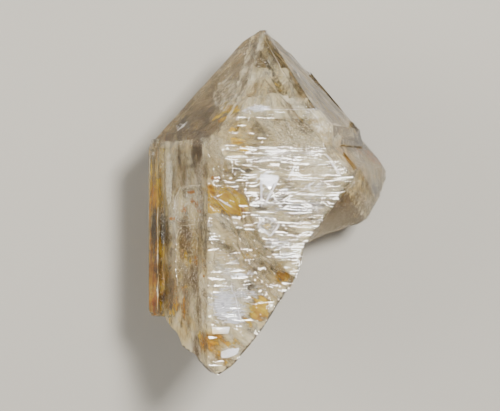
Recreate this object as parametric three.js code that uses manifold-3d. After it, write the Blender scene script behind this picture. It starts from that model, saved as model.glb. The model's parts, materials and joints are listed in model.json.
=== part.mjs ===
// Skeletal quartz crystal lying on its back prism face, the pointed end toward +Y.
// Millimetres, +Z up. X runs across the front prism face, Y runs along the long axis, and the
// origin is at the middle of the underside. While the crystal is built, Y = 0 is the shoulder
// between prism and point, and the long axis runs through X = Z = 0.

import * as THREE from "three";
import { ConvexGeometry } from "three/addons/geometries/ConvexGeometry.js";
import { mergeVertices } from "three/addons/utils/BufferGeometryUtils.js";
import Module from "manifold-3d";

const wasm = await Module();
wasm.setup();

// Angles in degrees between the long axis and the normal of each kind of face.
const PRISM = 90;
const STEEP = 68.5;
const POINT = 51.8;

// Distances of the faces from the middle of the crystal.
const FRONT = 11.25;
const SIDE = 11.2;
const UNDERSIDE = 10;
const TIP = 15.06;
const SHEET_BACK = 6;
const LOBE_FRONT = 6.5;

// Levels of the three terraces below the front face, and how far each edge steps back.
const TERRACE_DROP = 0.7;
const TERRACE_SHIFT = [-0.55, -0.4];
const TERRACE_COUNT = 3;

const STRIATION_PITCH = 0.55;
const STRIATION_DEPTH = 0.1;
const STRIATION_WIDTH = 0.3;

const BREAK_REACH = 26;
const BREAK_TOP = 12.5;
const BREAK_ROWS = 12;
const RIPPLE = 0.22;

// A repeatable source of irregularity, so that the crystal is the same each time.
function irregular(seed) {
  let state = seed;
  return (low, high) => {
    state = (state * 16807) % 2147483647;
    return low + (high - low) * (state / 2147483647);
  };
}

// A crystal face is given by its azimuth (0 faces front, 90 faces right), its tilt from the long
// axis and its distance. The frame has x across the face, y up it and z out of it.
function face(azimuth, tilt, distance) {
  const turn = THREE.MathUtils.degToRad(azimuth);
  const lean = THREE.MathUtils.degToRad(tilt);
  const normal = new THREE.Vector3(
    Math.sin(lean) * Math.sin(turn),
    Math.cos(lean),
    Math.sin(lean) * Math.cos(turn),
  );
  const across = new THREE.Vector3(Math.cos(turn), 0, -Math.sin(turn));
  const up = new THREE.Vector3().crossVectors(normal, across);
  const frame = new THREE.Matrix4().makeBasis(across, up, normal);
  frame.setPosition(normal.clone().multiplyScalar(distance));
  return { normal, distance, frame };
}

function solid(geometry) {
  const bare = geometry.clone();
  bare.deleteAttribute("normal");
  bare.deleteAttribute("uv");
  const merged = mergeVertices(bare, 1e-5);
  return new wasm.Manifold(new wasm.Mesh({
    numProp: 3,
    vertProperties: new Float32Array(merged.attributes.position.array),
    triVerts: new Uint32Array(merged.index.array),
  }));
}

function joined(solids) {
  return solids.reduce((whole, piece) => whole.add(piece));
}

// The point where three faces meet, or null where they are parallel to one line.
function corner(a, b, c) {
  const bc = new THREE.Vector3().crossVectors(b.normal, c.normal);
  const ca = new THREE.Vector3().crossVectors(c.normal, a.normal);
  const ab = new THREE.Vector3().crossVectors(a.normal, b.normal);
  const volume = a.normal.dot(bc);
  if (Math.abs(volume) < 1e-6) return null;
  return bc.multiplyScalar(a.distance)
    .addScaledVector(ca, b.distance)
    .addScaledVector(ab, c.distance)
    .divideScalar(volume);
}

// The convex body bounded by a list of faces.
function growthForm(faces) {
  const corners = [];
  for (let i = 0; i < faces.length; i += 1) {
    for (let j = i + 1; j < faces.length; j += 1) {
      for (let k = j + 1; k < faces.length; k += 1) {
        const point = corner(faces[i], faces[j], faces[k]);
        if (!point) continue;
        const inside = faces.every((f) => f.normal.dot(point) <= f.distance + 1e-6);
        const isNew = corners.every((other) => other.distanceTo(point) > 1e-3);
        if (inside && isNew) corners.push(point);
      }
    }
  }
  return solid(new ConvexGeometry(corners));
}

// The main unit: prism, six sloping faces, the steep band in front and a blunt tip.
function mainUnit() {
  return growthForm([
    face(0, PRISM, FRONT),
    face(60, PRISM, 11.25),
    face(120, PRISM, 16.25),
    face(180, PRISM, UNDERSIDE),
    face(-120, PRISM, SIDE),
    face(-60, PRISM, SIDE),
    face(0, STEEP, 10.47),
    face(0, POINT, 10.42),
    face(60, POINT, 10.47),
    face(120, POINT, 12.26),
    face(180, POINT, 9.09),
    face(-120, POINT, 9.18),
    face(-60, POINT, 8.87),
    face(0, 0, TIP),
    face(0, 180, 30),
  ]);
}

// The front sheet spreads to the right over the lobe and is only a plate.
function frontSheet() {
  return growthForm([
    face(0, PRISM, FRONT),
    face(60, PRISM, 14.25),
    face(120, PRISM, 14.9),
    face(180, PRISM, -SHEET_BACK),
    face(-60, PRISM, 6),
    face(0, STEEP, 10.47),
    face(0, POINT, 10.42),
    face(60, POINT, 9.13),
    face(120, POINT, 14.76),
    face(180, POINT, 9.09),
    face(-120, POINT, 9.18),
    face(-60, POINT, 8.87),
    face(0, 180, 26),
  ]);
}

// The lobe is a second point that grew parallel to the first one, deeper and farther right.
function rightLobe() {
  return growthForm([
    face(0, PRISM, LOBE_FRONT),
    face(60, PRISM, 13.03),
    face(120, PRISM, 19.78),
    face(180, PRISM, UNDERSIDE),
    face(-90, PRISM, 2),
    face(0, POINT, 10.42),
    face(60, POINT, 9.13),
    face(120, POINT, 14.76),
    face(180, POINT, 9.09),
    face(-120, POINT, 9.18),
    face(-60, POINT, 8.87),
    face(0, 180, 14),
  ]);
}

// Two thin growth layers wrap the left prism edge; each ends below in a worn, rounded foot.
function leftColumn() {
  const layers = [
    { rise: 0.2, width: 11.75, top: 9.0, foot: 20.75 },
    { rise: 0.4, width: 12.38, top: 8.8, foot: 20.4 },
  ];
  return joined(layers.map(({ rise, width, top, foot }) => growthForm([
    face(-60, PRISM, SIDE + rise),
    face(-120, PRISM, SIDE + rise),
    face(90, PRISM, -width),
    face(-60, POINT, top),
    face(-120, POINT, top + 0.2),
    face(0, 180, foot),
    face(-90, 150, foot * 0.866 + 6.3),
    face(-90, 115, foot * 0.4226 + 11.75),
  ])));
}

// Shallow shell-shaped dishes left by fracture: depth in mm below the worn wall.
function dishDepth(dishes, along, height) {
  return dishes.reduce((deepest, [at, level, radius, depth]) => {
    const far = ((along - at) ** 2 + (height - level) ** 2) / radius ** 2;
    const ribs = RIPPLE * Math.cos(9 * Math.sqrt(far)) * Math.max(0, 1 - far);
    return Math.max(deepest, depth * (1 - far) + ribs * 0.3);
  }, 0);
}

// Everything outside a broken wall. The wall follows a line of points in plan, seen from a heart
// point inside; inset(height, along, share) is how far the wall steps in toward the heart.
function outsideOfBreak(line, heart, inset) {
  const columns = line.length;
  const positions = [];
  let along = 0;
  line.forEach(([x, y], column) => {
    const outward = new THREE.Vector2(x - heart[0], y - heart[1]).normalize();
    if (column > 0) along += Math.hypot(x - line[column - 1][0], y - line[column - 1][1]);
    for (let row = 0; row < BREAK_ROWS; row += 1) {
      const height = BREAK_TOP * (1 - (2 * row) / (BREAK_ROWS - 1));
      const step = inset(height, along, column / (columns - 1));
      positions.push(x - outward.x * step, y - outward.y * step, height);
      positions.push(x + outward.x * BREAK_REACH, y + outward.y * BREAK_REACH, height);
    }
  });
  const inner = (column, row) => 2 * (column * BREAK_ROWS + row);
  const outer = (column, row) => inner(column, row) + 1;
  const index = [];
  const quad = (a, b, c, d) => index.push(a, b, c, a, c, d);
  for (let c = 0; c < columns - 1; c += 1) {
    for (let r = 0; r < BREAK_ROWS - 1; r += 1) {
      quad(inner(c, r), inner(c, r + 1), inner(c + 1, r + 1), inner(c + 1, r));
      quad(outer(c, r), outer(c + 1, r), outer(c + 1, r + 1), outer(c, r + 1));
    }
    const last = BREAK_ROWS - 1;
    quad(inner(c, 0), inner(c + 1, 0), outer(c + 1, 0), outer(c, 0));
    quad(inner(c, last), outer(c, last), outer(c + 1, last), inner(c + 1, last));
  }
  for (let r = 0; r < BREAK_ROWS - 1; r += 1) {
    const end = columns - 1;
    quad(inner(0, r), outer(0, r), outer(0, r + 1), inner(0, r + 1));
    quad(inner(end, r), inner(end, r + 1), outer(end, r + 1), outer(end, r));
  }
  const geometry = new THREE.BufferGeometry();
  geometry.setAttribute("position", new THREE.Float32BufferAttribute(positions, 3));
  geometry.setIndex(index);
  return solid(geometry);
}

// The lower end is broken all round, from under the sheet's right corner to the left edge.
// The wall leans in toward the back, most of all at the ragged tip.
function lowerBreak() {
  const line = [
    [13.5, -1.4], [9.9, -3.8], [8.6, -5.4], [7.3, -7.1], [5.0, -10.2], [3.9, -11.6],
    [3.4, -14.0], [2.5, -16.6], [1.1, -18.8], [-0.8, -21.9], [-2.5, -23.9], [-4.4, -26.2],
    [-5.6, -27.0], [-6.6, -27.6], [-7.0, -27.3], [-8.1, -26.1], [-8.8, -25.0],
    [-10.0, -24.3], [-10.7, -22.9], [-11.8, -21.6], [-12.0, -20.6], [-14.5, -19.2],
  ];
  const dishes = [
    [6, 2, 7, 1.1], [14, -3, 6, 1.4], [19, 5, 4.5, 0.7], [24, -2, 6, 1.5],
    [31, 3, 4, 0.8], [35, -4, 6, 1.3], [29, -8, 5, 1.6], [9, -8, 5, 1.2],
  ];
  const tip = 0.7;
  const heart = [0, -6];
  return outsideOfBreak(line, heart, (height, along, share) => {
    const tipward = Math.exp(-(((share - tip) / 0.25) ** 2));
    const depth = Math.max(0, (FRONT - height) / (FRONT + UNDERSIDE) - 0.25);
    const nearFront = Math.min(1, Math.max(0, (FRONT - height) / 4));
    const lean = (2 + 12 * tipward) * depth ** 1.5;
    return lean + nearFront * dishDepth(dishes, along, height);
  });
}

// The lobe is broken below: its wall bulges at mid-depth and slopes up to the sheet's edge.
function lobeBreak() {
  const line = [
    [19.6, -3.1], [18.6, -3.75], [17.7, -5.0], [16.7, -6.9], [15.9, -8.3], [14.9, -9.0],
    [12.6, -9.9], [10.7, -10.6], [9.1, -11.3], [7.6, -12.0], [5.6, -12.2], [2.0, -11.6],
    [-4.0, -10.6],
  ];
  const dishes = [[4, 3, 5, 0.9], [9, -2, 4, 0.7], [12, 5, 4, 0.8], [15, -6, 5, 0.9]];
  const bulge = -4;
  const heart = [8, -1];
  return outsideOfBreak(line, heart, (height, along, share) => {
    const rise = (height - bulge) / (LOBE_FRONT - bulge);
    const slope = height > bulge ? (7.6 - 3 * share) * rise ** 1.2 : 2.2 * rise ** 2;
    return slope + 0.5 * dishDepth(dishes, along, height) * Math.min(1, Math.abs(rise) + 0.1);
  });
}

// A straight-walled recess sunk into a face, its outline in mm in the face's own frame.
function recess(place, outline, depth) {
  const shape = new THREE.Shape(outline.map(([x, y]) => new THREE.Vector2(x, y)));
  const block = new THREE.ExtrudeGeometry(shape, { depth: depth + 1, bevelEnabled: false });
  block.translate(0, 0, -depth);
  block.applyMatrix4(place.frame);
  return solid(block);
}

// The front sheet's left edge comes down in curved terraces to a recessed field.
function frontTerraces() {
  const edge = [
    [-6.9, -0.1], [-6.3, -1.5], [-5.8, -2.8], [-4.3, -4.8], [-3.4, -6.9], [-3.0, -8.8],
    [-2.0, -11.0], [-0.4, -13.1], [1.3, -15.0], [3.6, -17.1],
  ];
  const outside = [[3.6, -30], [-16, -30], [-16, -0.1]];
  const front = face(0, PRISM, FRONT);
  const steps = [];
  for (let level = 1; level <= TERRACE_COUNT; level += 1) {
    const outline = [...edge, ...outside].map(([x, y]) => [
      x + TERRACE_SHIFT[0] * (level - 1),
      y + TERRACE_SHIFT[1] * (level - 1) * (2 + level),
    ]);
    steps.push(recess(front, outline, TERRACE_DROP * level));
  }
  return joined(steps);
}

// A growth window: nested recesses that get smaller and deeper, with clipped corners.
function growthWindow(place, [left, bottom, right, top], stepDepth, steps, inset) {
  const nested = [];
  for (let step = 0; step < steps; step += 1) {
    const l = left + inset * step;
    const r = right - inset * step;
    const b = bottom + inset * step;
    const t = top - inset * 1.4 * step;
    const clip = Math.min(r - l, t - b) * 0.28;
    const outline = [
      [l, b], [r, b], [r, t - clip], [r - clip * 0.6, t - clip * 0.25],
      [(l + r) / 2, t], [l + clip * 0.6, t - clip * 0.25], [l, t - clip],
    ];
    nested.push(recess(place, outline, stepDepth * (step + 1)));
  }
  return joined(nested);
}

// Etched figures on the front face: a long triangle, a lozenge and a scaly oval, all shallow.
function etchedFigures() {
  const front = face(0, PRISM, FRONT);
  const triangle = [[-1.5, -2.7], [-1.1, -7.1], [0.9, -3.4]];
  const lozenge = [[-2.0, -9.5], [-0.5, -10.8], [0.9, -9.4], [-0.7, -8.2]];
  const lozengeFloor = [[-1.3, -9.5], [-0.5, -10.1], [0.3, -9.4], [-0.6, -8.8]];
  const oval = [
    [4.1, -4.7], [4.6, -5.3], [5.5, -5.5], [6.4, -5.2], [6.6, -4.6], [6.1, -4.0], [5.1, -3.8],
  ];
  return joined([
    recess(front, triangle, 0.16),
    recess(front, lozenge, 0.14),
    recess(front, lozengeFloor, 0.3),
    recess(front, oval, 0.12),
  ]);
}

function growthWindows() {
  return joined([
    growthWindow(face(-60, PRISM, SIDE), [-2.5, -9.0, 3.1, -4.6], 0.28, 2, 0.35),
    growthWindow(face(-60, PRISM, SIDE), [-2.1, -16.9, 2.2, -9.3], 0.2, 2, 0.3),
    growthWindow(face(-120, PRISM, SIDE), [-3.2, -15.5, 3.4, -2.6], 0.45, 4, 0.55),
    growthWindow(face(120, PRISM, 19.78), [-3.2, -6.4, -0.6, -1.6], 0.25, 3, 0.35),
    growthWindow(face(180, PRISM, UNDERSIDE), [-8.5, -14.5, 2.8, -2.2], 0.4, 4, 0.9),
    growthWindow(face(180, POINT, 9.09), [-5.2, 2.2, 2.4, 8.4], 0.25, 3, 0.6),
  ]);
}

// A thin spindle, used both for a striation groove and for a low growth ridge.
function spindle(place, x, y, length, width, depth) {
  const half = length / 2;
  const points = [
    [-half, 0, 0], [half, 0, 0],
    [-half * 0.7, width / 2, 0.02], [half * 0.7, width / 2, 0.02],
    [-half * 0.7, -width / 2, 0.02], [half * 0.7, -width / 2, 0.02],
    [-half * 0.6, -width * 0.3, -depth], [half * 0.6, -width * 0.3, -depth],
    [0, 0, 0.2],
  ];
  const shape = new ConvexGeometry(points.map(([a, b, c]) => new THREE.Vector3(a + x, b + y, c)));
  shape.applyMatrix4(place.frame);
  return solid(shape);
}

// Striations run straight across a face, in rows about half a millimetre apart.
function striations(place, [left, bottom, right, top], seed) {
  const vary = irregular(seed);
  const grooves = [];
  for (let y = bottom; y < top; y += STRIATION_PITCH * vary(0.7, 1.5)) {
    const length = (right - left) * vary(0.25, 0.75);
    const x = vary(left + length / 2, right - length / 2);
    const width = STRIATION_WIDTH * vary(0.7, 1.5);
    grooves.push(spindle(place, x, y, length, width, STRIATION_DEPTH * vary(0.6, 1.4)));
  }
  return joined(grooves);
}

function allStriations() {
  const floor = FRONT - TERRACE_DROP * TERRACE_COUNT;
  return joined([
    striations(face(0, PRISM, FRONT), [-5.5, -4.6, 6.2, -0.3], 11),
    striations(face(0, PRISM, FRONT), [-3.2, -9.8, 6.8, -4.2], 23),
    striations(face(0, PRISM, FRONT), [-1.4, -15.0, 3.4, -9.8], 37),
    striations(face(0, PRISM, floor), [-7.6, -22.0, -2.2, -15.2], 41),
    striations(face(0, PRISM, floor), [-8.2, -25.5, -3.0, -20.0], 53),
    striations(face(0, STEEP, 10.47), [-4.6, -3.6, 4.2, 0.8], 67),
    striations(face(-60, PRISM, SIDE), [-3.6, -4.2, 4.4, -0.6], 71),
    striations(face(-120, PRISM, SIDE), [-5.6, -20.0, 5.4, -15.8], 83),
    striations(face(120, PRISM, 19.78), [-3.6, -9.0, -0.2, -6.8], 97),
  ]);
}

// Small chips out of edges: a faceted ball whose centre lies just outside the crystal.
function chips() {
  const spots = [
    [14.5, 3.6, -2.1, 1.1], [-6.4, 0.2, 12.0, 0.9], [9.3, -0.5, 11.9, 0.8],
    [19.6, -1.9, -6.8, 0.9], [-13.4, -0.4, 0.9, 0.7], [14.6, -9.9, -9.8, 1.6],
  ];
  return joined(spots.map(([x, y, z, radius]) => {
    const ball = new THREE.IcosahedronGeometry(radius, 1);
    ball.rotateX(x + z);
    ball.translate(x, y, z);
    return solid(ball);
  }));
}

// Flat triangular growth hillocks on the sloping faces of the point.
function hillock(place, x, y, size, rise) {
  const points = [
    [-size, -size * 0.55, 0], [size, -size * 0.55, 0], [0, size, 0],
    [-size * 0.35, -size * 0.2, rise], [size * 0.35, -size * 0.2, rise], [0, size * 0.3, rise],
    [0, 0, -0.2],
  ];
  const shape = new ConvexGeometry(points.map(([a, b, c]) => new THREE.Vector3(a + x, b + y, c)));
  shape.applyMatrix4(place.frame);
  return solid(shape);
}

function hillocks() {
  const left = face(-60, POINT, 8.87);
  const lobe = face(60, POINT, 9.13);
  const front = face(0, POINT, 10.42);
  return joined([
    hillock(left, -0.5, -1.2, 1.5, 0.1),
    hillock(left, 1.6, -4.4, 1.1, 0.09),
    hillock(left, -2.8, -4.0, 0.9, 0.08),
    hillock(lobe, 0.6, -6.2, 1.3, 0.1),
    hillock(lobe, 3.1, -3.4, 0.9, 0.08),
    hillock(front, 0.2, 1.2, 0.8, 0.08),
  ]);
}

function crystal() {
  const core = mainUnit().add(frontSheet()).subtract(lowerBreak());
  const lobe = rightLobe().subtract(lobeBreak());
  const grown = core.add(lobe).add(leftColumn()).add(hillocks());
  return grown
    .subtract(frontTerraces())
    .subtract(growthWindows())
    .subtract(etchedFigures())
    .subtract(allStriations())
    .subtract(chips());
}

function meshOf(body, name, material) {
  const { vertProperties, triVerts } = body.getMesh();
  const geometry = new THREE.BufferGeometry();
  geometry.setAttribute("position", new THREE.Float32BufferAttribute(vertProperties, 3));
  geometry.setIndex(new THREE.Uint32BufferAttribute(triVerts, 1));
  geometry.computeBoundingBox();
  const { min, max } = geometry.boundingBox;
  geometry.translate(-(min.x + max.x) / 2, -(min.y + max.y) / 2, -min.z);
  const mesh = new THREE.Mesh(geometry, material);
  mesh.name = name;
  return mesh;
}

const quartz = new THREE.MeshStandardMaterial({
  color: 0xac9e89,
  roughness: 0.12,
  metalness: 0,
  flatShading: true,
});

const object = new THREE.Group();
object.add(meshOf(crystal(), "skeletal_quartz_crystal", quartz));

export default object;
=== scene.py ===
# %% [markdown]
# # A skeletal quartz crystal, grown in numpy
# The stone is one clear, faintly smoky quartz crystal, about four centimetres long. It lies on its
# back prism face with its pointed end toward +Y. Quartz faces keep fixed angles, so the whole body
# can be written down as a short list of faces, each with a direction and a distance. This lesson
# grows the body from such lists, breaks and etches it, and then fills the inside with the golden
# films, veils and grains that make a real crystal more than a glass prism.

import json

import bmesh
import bpy
import numpy as np
from mathutils import Matrix, Vector
from mathutils.bvhtree import BVHTree

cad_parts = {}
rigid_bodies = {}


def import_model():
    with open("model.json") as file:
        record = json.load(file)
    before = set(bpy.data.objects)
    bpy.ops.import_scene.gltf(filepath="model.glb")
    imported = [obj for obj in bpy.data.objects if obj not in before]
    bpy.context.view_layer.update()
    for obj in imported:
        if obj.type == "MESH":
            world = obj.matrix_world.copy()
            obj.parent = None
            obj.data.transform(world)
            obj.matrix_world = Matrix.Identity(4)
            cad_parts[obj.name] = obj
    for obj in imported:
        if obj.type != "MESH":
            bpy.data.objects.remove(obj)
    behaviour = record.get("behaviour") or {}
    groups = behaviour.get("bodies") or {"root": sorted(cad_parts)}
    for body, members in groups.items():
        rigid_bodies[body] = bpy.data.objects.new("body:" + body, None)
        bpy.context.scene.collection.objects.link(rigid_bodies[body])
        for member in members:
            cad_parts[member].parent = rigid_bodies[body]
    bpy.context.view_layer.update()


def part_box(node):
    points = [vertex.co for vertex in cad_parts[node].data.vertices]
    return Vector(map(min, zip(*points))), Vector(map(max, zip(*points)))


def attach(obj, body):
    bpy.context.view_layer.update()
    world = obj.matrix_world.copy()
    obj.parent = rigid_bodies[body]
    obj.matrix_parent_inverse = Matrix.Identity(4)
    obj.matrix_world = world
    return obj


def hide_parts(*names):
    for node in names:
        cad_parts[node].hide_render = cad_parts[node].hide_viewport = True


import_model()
MM = 0.001
NODE = "skeletal_quartz_crystal"

# %% [markdown]
# ## Camera first
# The photograph looks at the front prism face, turned 13 degrees to the left about the long axis.
# A long lens from a quarter of a metre keeps the parallel edges parallel, as they look there.

# %% The camera
VIEW_TURN = np.radians(13)
LENS = 150.0
FRAME_WIDTH = 62.5 * MM
SENSOR_WIDTH = 36.0
AIM = Vector((-3.86, -0.67, 13.0)) * MM


def make_camera():
    """Places the camera at lens * frame width / sensor width from the aim point, +Y upward."""
    data = bpy.data.cameras.new("camera")
    data.lens = LENS
    data.clip_start = 0.01
    camera = bpy.data.objects.new("camera", data)
    bpy.context.collection.objects.link(camera)
    toward = Vector((-np.sin(VIEW_TURN), 0.0, np.cos(VIEW_TURN)))
    up = Vector((0.0, 1.0, 0.0))
    turn = Matrix((up.cross(toward), up, toward)).transposed()
    place = AIM + toward * (LENS * FRAME_WIDTH / SENSOR_WIDTH)
    camera.matrix_world = Matrix.Translation(place) @ turn.to_4x4()
    return camera


bpy.context.scene.camera = make_camera()
print("camera height in mm:", round(bpy.context.scene.camera.location.z / MM, 1))

# %% [markdown]
# ## Noise made of numpy arrays
# Nature never repeats exactly. Value noise puts a random number on each point of a lattice and
# blends smoothly between them. Stretching the lattice along one axis turns blobs into streaks,
# which is all that striations are.

# %% Two helpers for irregular surfaces
LATTICE = 64


def value_noise(u, v, seed):
    """Random numbers in [-1, 1] on whole (u, v), blended by the smooth step 3t^2 - 2t^3 between."""
    table = np.random.default_rng(seed).uniform(-1, 1, (LATTICE, LATTICE))
    column = np.floor(u).astype(int)
    row = np.floor(v).astype(int)
    fu = u - column
    fv = v - row
    fu = fu * fu * (3 - 2 * fu)
    fv = fv * fv * (3 - 2 * fv)
    left, right = column % LATTICE, (column + 1) % LATTICE
    low, high = row % LATTICE, (row + 1) % LATTICE
    near = table[low, left] * (1 - fu) + table[low, right] * fu
    far = table[high, left] * (1 - fu) + table[high, right] * fu
    return near * (1 - fv) + far * fv


def rough_noise(u, v, seed, octaves=4):
    """Several value noises, each twice as fine and half as strong as the one before."""
    total = np.zeros(np.broadcast(u, v).shape)
    for octave in range(octaves):
        total += value_noise(u * 2**octave, v * 2**octave, seed + octave) / 2**octave
    return total


print("noise at a few points:", value_noise(np.array([0.2, 1.7]), np.array([0.5, 3.1]), 1).round(3))

# %% [markdown]
# ## From arrays to a closed mesh
# Every solid here is a tube: rings of points carried along a path and capped at both ends. Rings
# may shrink to nothing, where a crystal face runs out, so doubled points are merged afterwards.

# %% Closed tubes and booleans
MERGE_GAP = 0.002 * MM


def mesh_object(name, points, faces):
    """A new object at the origin whose mesh has these points, in metres, and these faces."""
    mesh = bpy.data.meshes.new(name)
    mesh.from_pydata(points.reshape(-1, 3).tolist(), [], faces)
    piece = bpy.data.objects.new(name, mesh)
    bpy.context.collection.objects.link(piece)
    return piece


def merge_doubles(piece, gap):
    """Points closer than gap become one, and the faces of the closed shell turn outward again."""
    shell = bmesh.new()
    shell.from_mesh(piece.data)
    bmesh.ops.remove_doubles(shell, verts=shell.verts, dist=gap)
    bmesh.ops.recalc_face_normals(shell, faces=shell.faces)
    shell.to_mesh(piece.data)
    shell.free()


def tube_parts(rings):
    """rings[i, j] is point j of ring i. Neighbouring rings are joined by quads, and the first and
    last rings are each closed by one flat face."""
    count, around = rings.shape[:2]
    i, j = np.meshgrid(np.arange(count - 1), np.arange(around), indexing="ij")
    k = (j + 1) % around
    quads = np.stack([i * around + j, i * around + k, (i + 1) * around + k, (i + 1) * around + j], -1)
    faces = quads.reshape(-1, 4).tolist()
    faces.append(np.arange(around)[::-1].tolist())
    faces.append(((count - 1) * around + np.arange(around)).tolist())
    return rings.reshape(-1, 3), faces


def closed_tube(name, rings):
    """One solid from rings of points in metres."""
    piece = mesh_object(name, *tube_parts(rings))
    merge_doubles(piece, MERGE_GAP)
    return piece


def combine(body, tool, operation):
    """Joins tool to body or cuts it away, keeps the result in body and removes the tool."""
    boolean = body.modifiers.new("boolean", "BOOLEAN")
    boolean.operation = operation
    boolean.solver = "MANIFOLD"
    boolean.object = tool
    result = bpy.data.meshes.new_from_object(body.evaluated_get(bpy.context.evaluated_depsgraph_get()))
    body.modifiers.clear()
    old = body.data
    body.data = result
    bpy.data.meshes.remove(old)
    bpy.data.objects.remove(tool)
    return body


def joined(body, *others):
    """The body with every other solid added to it."""
    for other in others:
        combine(body, other, "UNION")
    return body


def carved(body, *tools):
    """The body with every tool's solid cut away."""
    for tool in tools:
        combine(body, tool, "DIFFERENCE")
    return body


# %% [markdown]
# ## One growth unit
# A quartz prism has six sides, 60 degrees apart, and each side is topped by one or two sloping
# faces. Seen at one height, every such stack is just the nearest of its faces, so the section is
# always a hexagon with six distances. Carrying that hexagon along the long axis, and working out
# its corners from neighbouring sides, keeps every edge of the crystal sharp on a fine grid. Here
# 90 is a prism face, 68.5 the steep face and 51.8 the main sloping face, in degrees from the axis.

# %% Grow a hexagonal unit from its faces
PRISM, STEEP, POINT = 90.0, 68.5, 51.8
FRONT, UNDERSIDE, TIP = 11.25, 10.0, 15.25
LOBE_RIGHT, LOBE_BACK_RIGHT = 13.5, 20.6
SIX_SIDES = [0, 60, 120, 180, 240, 300]

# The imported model's highest corner, in the growth frame whose origin is on the long axis. The
# point and the lobe are grown here a little past it, to where the photograph shows them.
PACKED_TOP = np.array([18.943, 15.06, FRONT])
cad_top = np.array(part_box(NODE)[1]) / MM
GROWTH_ORIGIN = cad_top - PACKED_TOP
print("growth frame sits at", GROWTH_ORIGIN.round(3), "mm")


def to_metres(points):
    """Growth-frame millimetres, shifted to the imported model's frame, times 0.001."""
    return (points + GROWTH_ORIGIN) * MM


def side_distance(stack, heights):
    """The nearest face of a stack at each height: min of (distance - cos(tilt) y) / sin(tilt)."""
    tilts = np.radians([tilt for tilt, _ in stack])[:, None]
    distances = np.array([distance for _, distance in stack])[:, None]
    return np.min((distances - np.cos(tilts) * heights) / np.sin(tilts), axis=0)


def turning_heights(stack):
    """Heights where two faces of a stack meet, so that a row of the grid runs along that edge."""
    found = []
    for (t1, d1), (t2, d2) in zip(stack, stack[1:]):
        a, b = np.radians([t1, t2])
        rate = np.cos(b) / np.sin(b) - np.cos(a) / np.sin(a)
        found.append((d2 / np.sin(b) - d1 / np.sin(a)) / rate)
    return found


def squeezed(sides, turns):
    """Where its neighbours meet in front of a side, the side shrinks to nothing at their corner,
    at a distance of (before sin(b) + after sin(a)) / sin(a + b) for the angles a and b to them."""
    a = np.mod(turns - np.roll(turns, 1), 2 * np.pi)
    b = np.roll(a, -1)
    reach = np.roll(sides, 1, axis=1) * np.sin(b) + np.roll(sides, -1, axis=1) * np.sin(a)
    return np.where(a + b < np.pi, np.minimum(sides, reach / np.sin(a + b)), sides)


def growth_unit(name, stacks, low, high, columns, row, turns=SIX_SIDES):
    """A polygon carried along the long axis from low to high: side k looks toward turns[k], and
    each corner is where two neighbouring side lines cross."""
    breaks = [h for stack in stacks for h in turning_heights(stack) if low < h < high]
    heights = np.unique(np.concatenate([np.linspace(low, high, int((high - low) / row)), breaks]))
    turn = np.radians(turns)
    sides = np.stack([side_distance(stack, heights) for stack in stacks], axis=1)
    for _ in range(3):
        sides = squeezed(sides, turn)
    beyond, next_turn = np.roll(sides, -1, axis=1), np.roll(turn, -1)
    span = np.sin(turn - next_turn)
    x = (sides * np.cos(next_turn) - beyond * np.cos(turn)) / span
    z = (np.sin(turn) * beyond - np.sin(next_turn) * sides) / span
    ends = np.stack([x, z], axis=-1)
    starts = np.roll(ends, 1, axis=1)
    strips = []
    for side, count in enumerate(columns):
        share = (np.arange(count) / count)[None, :, None]
        strips.append(starts[:, side, None] * (1 - share) + ends[:, side, None] * share)
    outline = np.concatenate(strips, axis=1)
    level = np.broadcast_to(heights[:, None], outline.shape[:2])
    rings = np.stack([outline[..., 0], level, outline[..., 1]], axis=-1)
    return closed_tube(name, to_metres(rings))


# %% [markdown]
# ## The main unit and the front plates
# The front prism face of a skeletal crystal is not one plane. Plates spread from the right-hand
# side and stop in curved steps, and the field at the lower left stays behind by two millimetres.
# So the main unit gets a low front, and three plates are laid over it, each a little higher.

# %% Main unit, plates and the wall that ends each plate
# Distances from the long axis in millimetres. Directions are in degrees round that axis, from 0 at
# the front, and a stack lists its faces as (tilt, distance).
POINT_FACES = {0: 10.45, 60: 10.75, 120: 13.6, 180: 9.3, 240: 9.75, 300: 9.02}
SHEET_POINT = {**POINT_FACES, 60: 9.22, 120: 15.8}
STEEP_FRONT = 10.47
SIDE = 11.2
MAIN_RIGHT, MAIN_BACK_RIGHT = 11.25, 16.25
PLATE_RIGHT, PLATE_BACK_RIGHT = 14.25, 14.9
PLATE_RISE = 0.7
PLATES = 3
PLATE_BACK = 6.0
HAIR = 0.012


def main_unit():
    """All six sides of the crystal, with the front held back by the rise of three plates."""
    stacks = [
        [(PRISM, FRONT - PLATES * PLATE_RISE), (STEEP, STEEP_FRONT), (POINT, POINT_FACES[0])],
        [(PRISM, MAIN_RIGHT), (POINT, POINT_FACES[60])],
        [(PRISM, MAIN_BACK_RIGHT), (POINT, POINT_FACES[120])],
        [(PRISM, UNDERSIDE), (POINT, POINT_FACES[180])],
        [(PRISM, SIDE), (POINT, POINT_FACES[240])],
        [(PRISM, SIDE), (POINT, POINT_FACES[300])],
    ]
    columns = [42, 14, 16, 12, 16, 34]
    return growth_unit("main_unit", stacks, low=-29.0, high=TIP, columns=columns, row=0.13)


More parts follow.
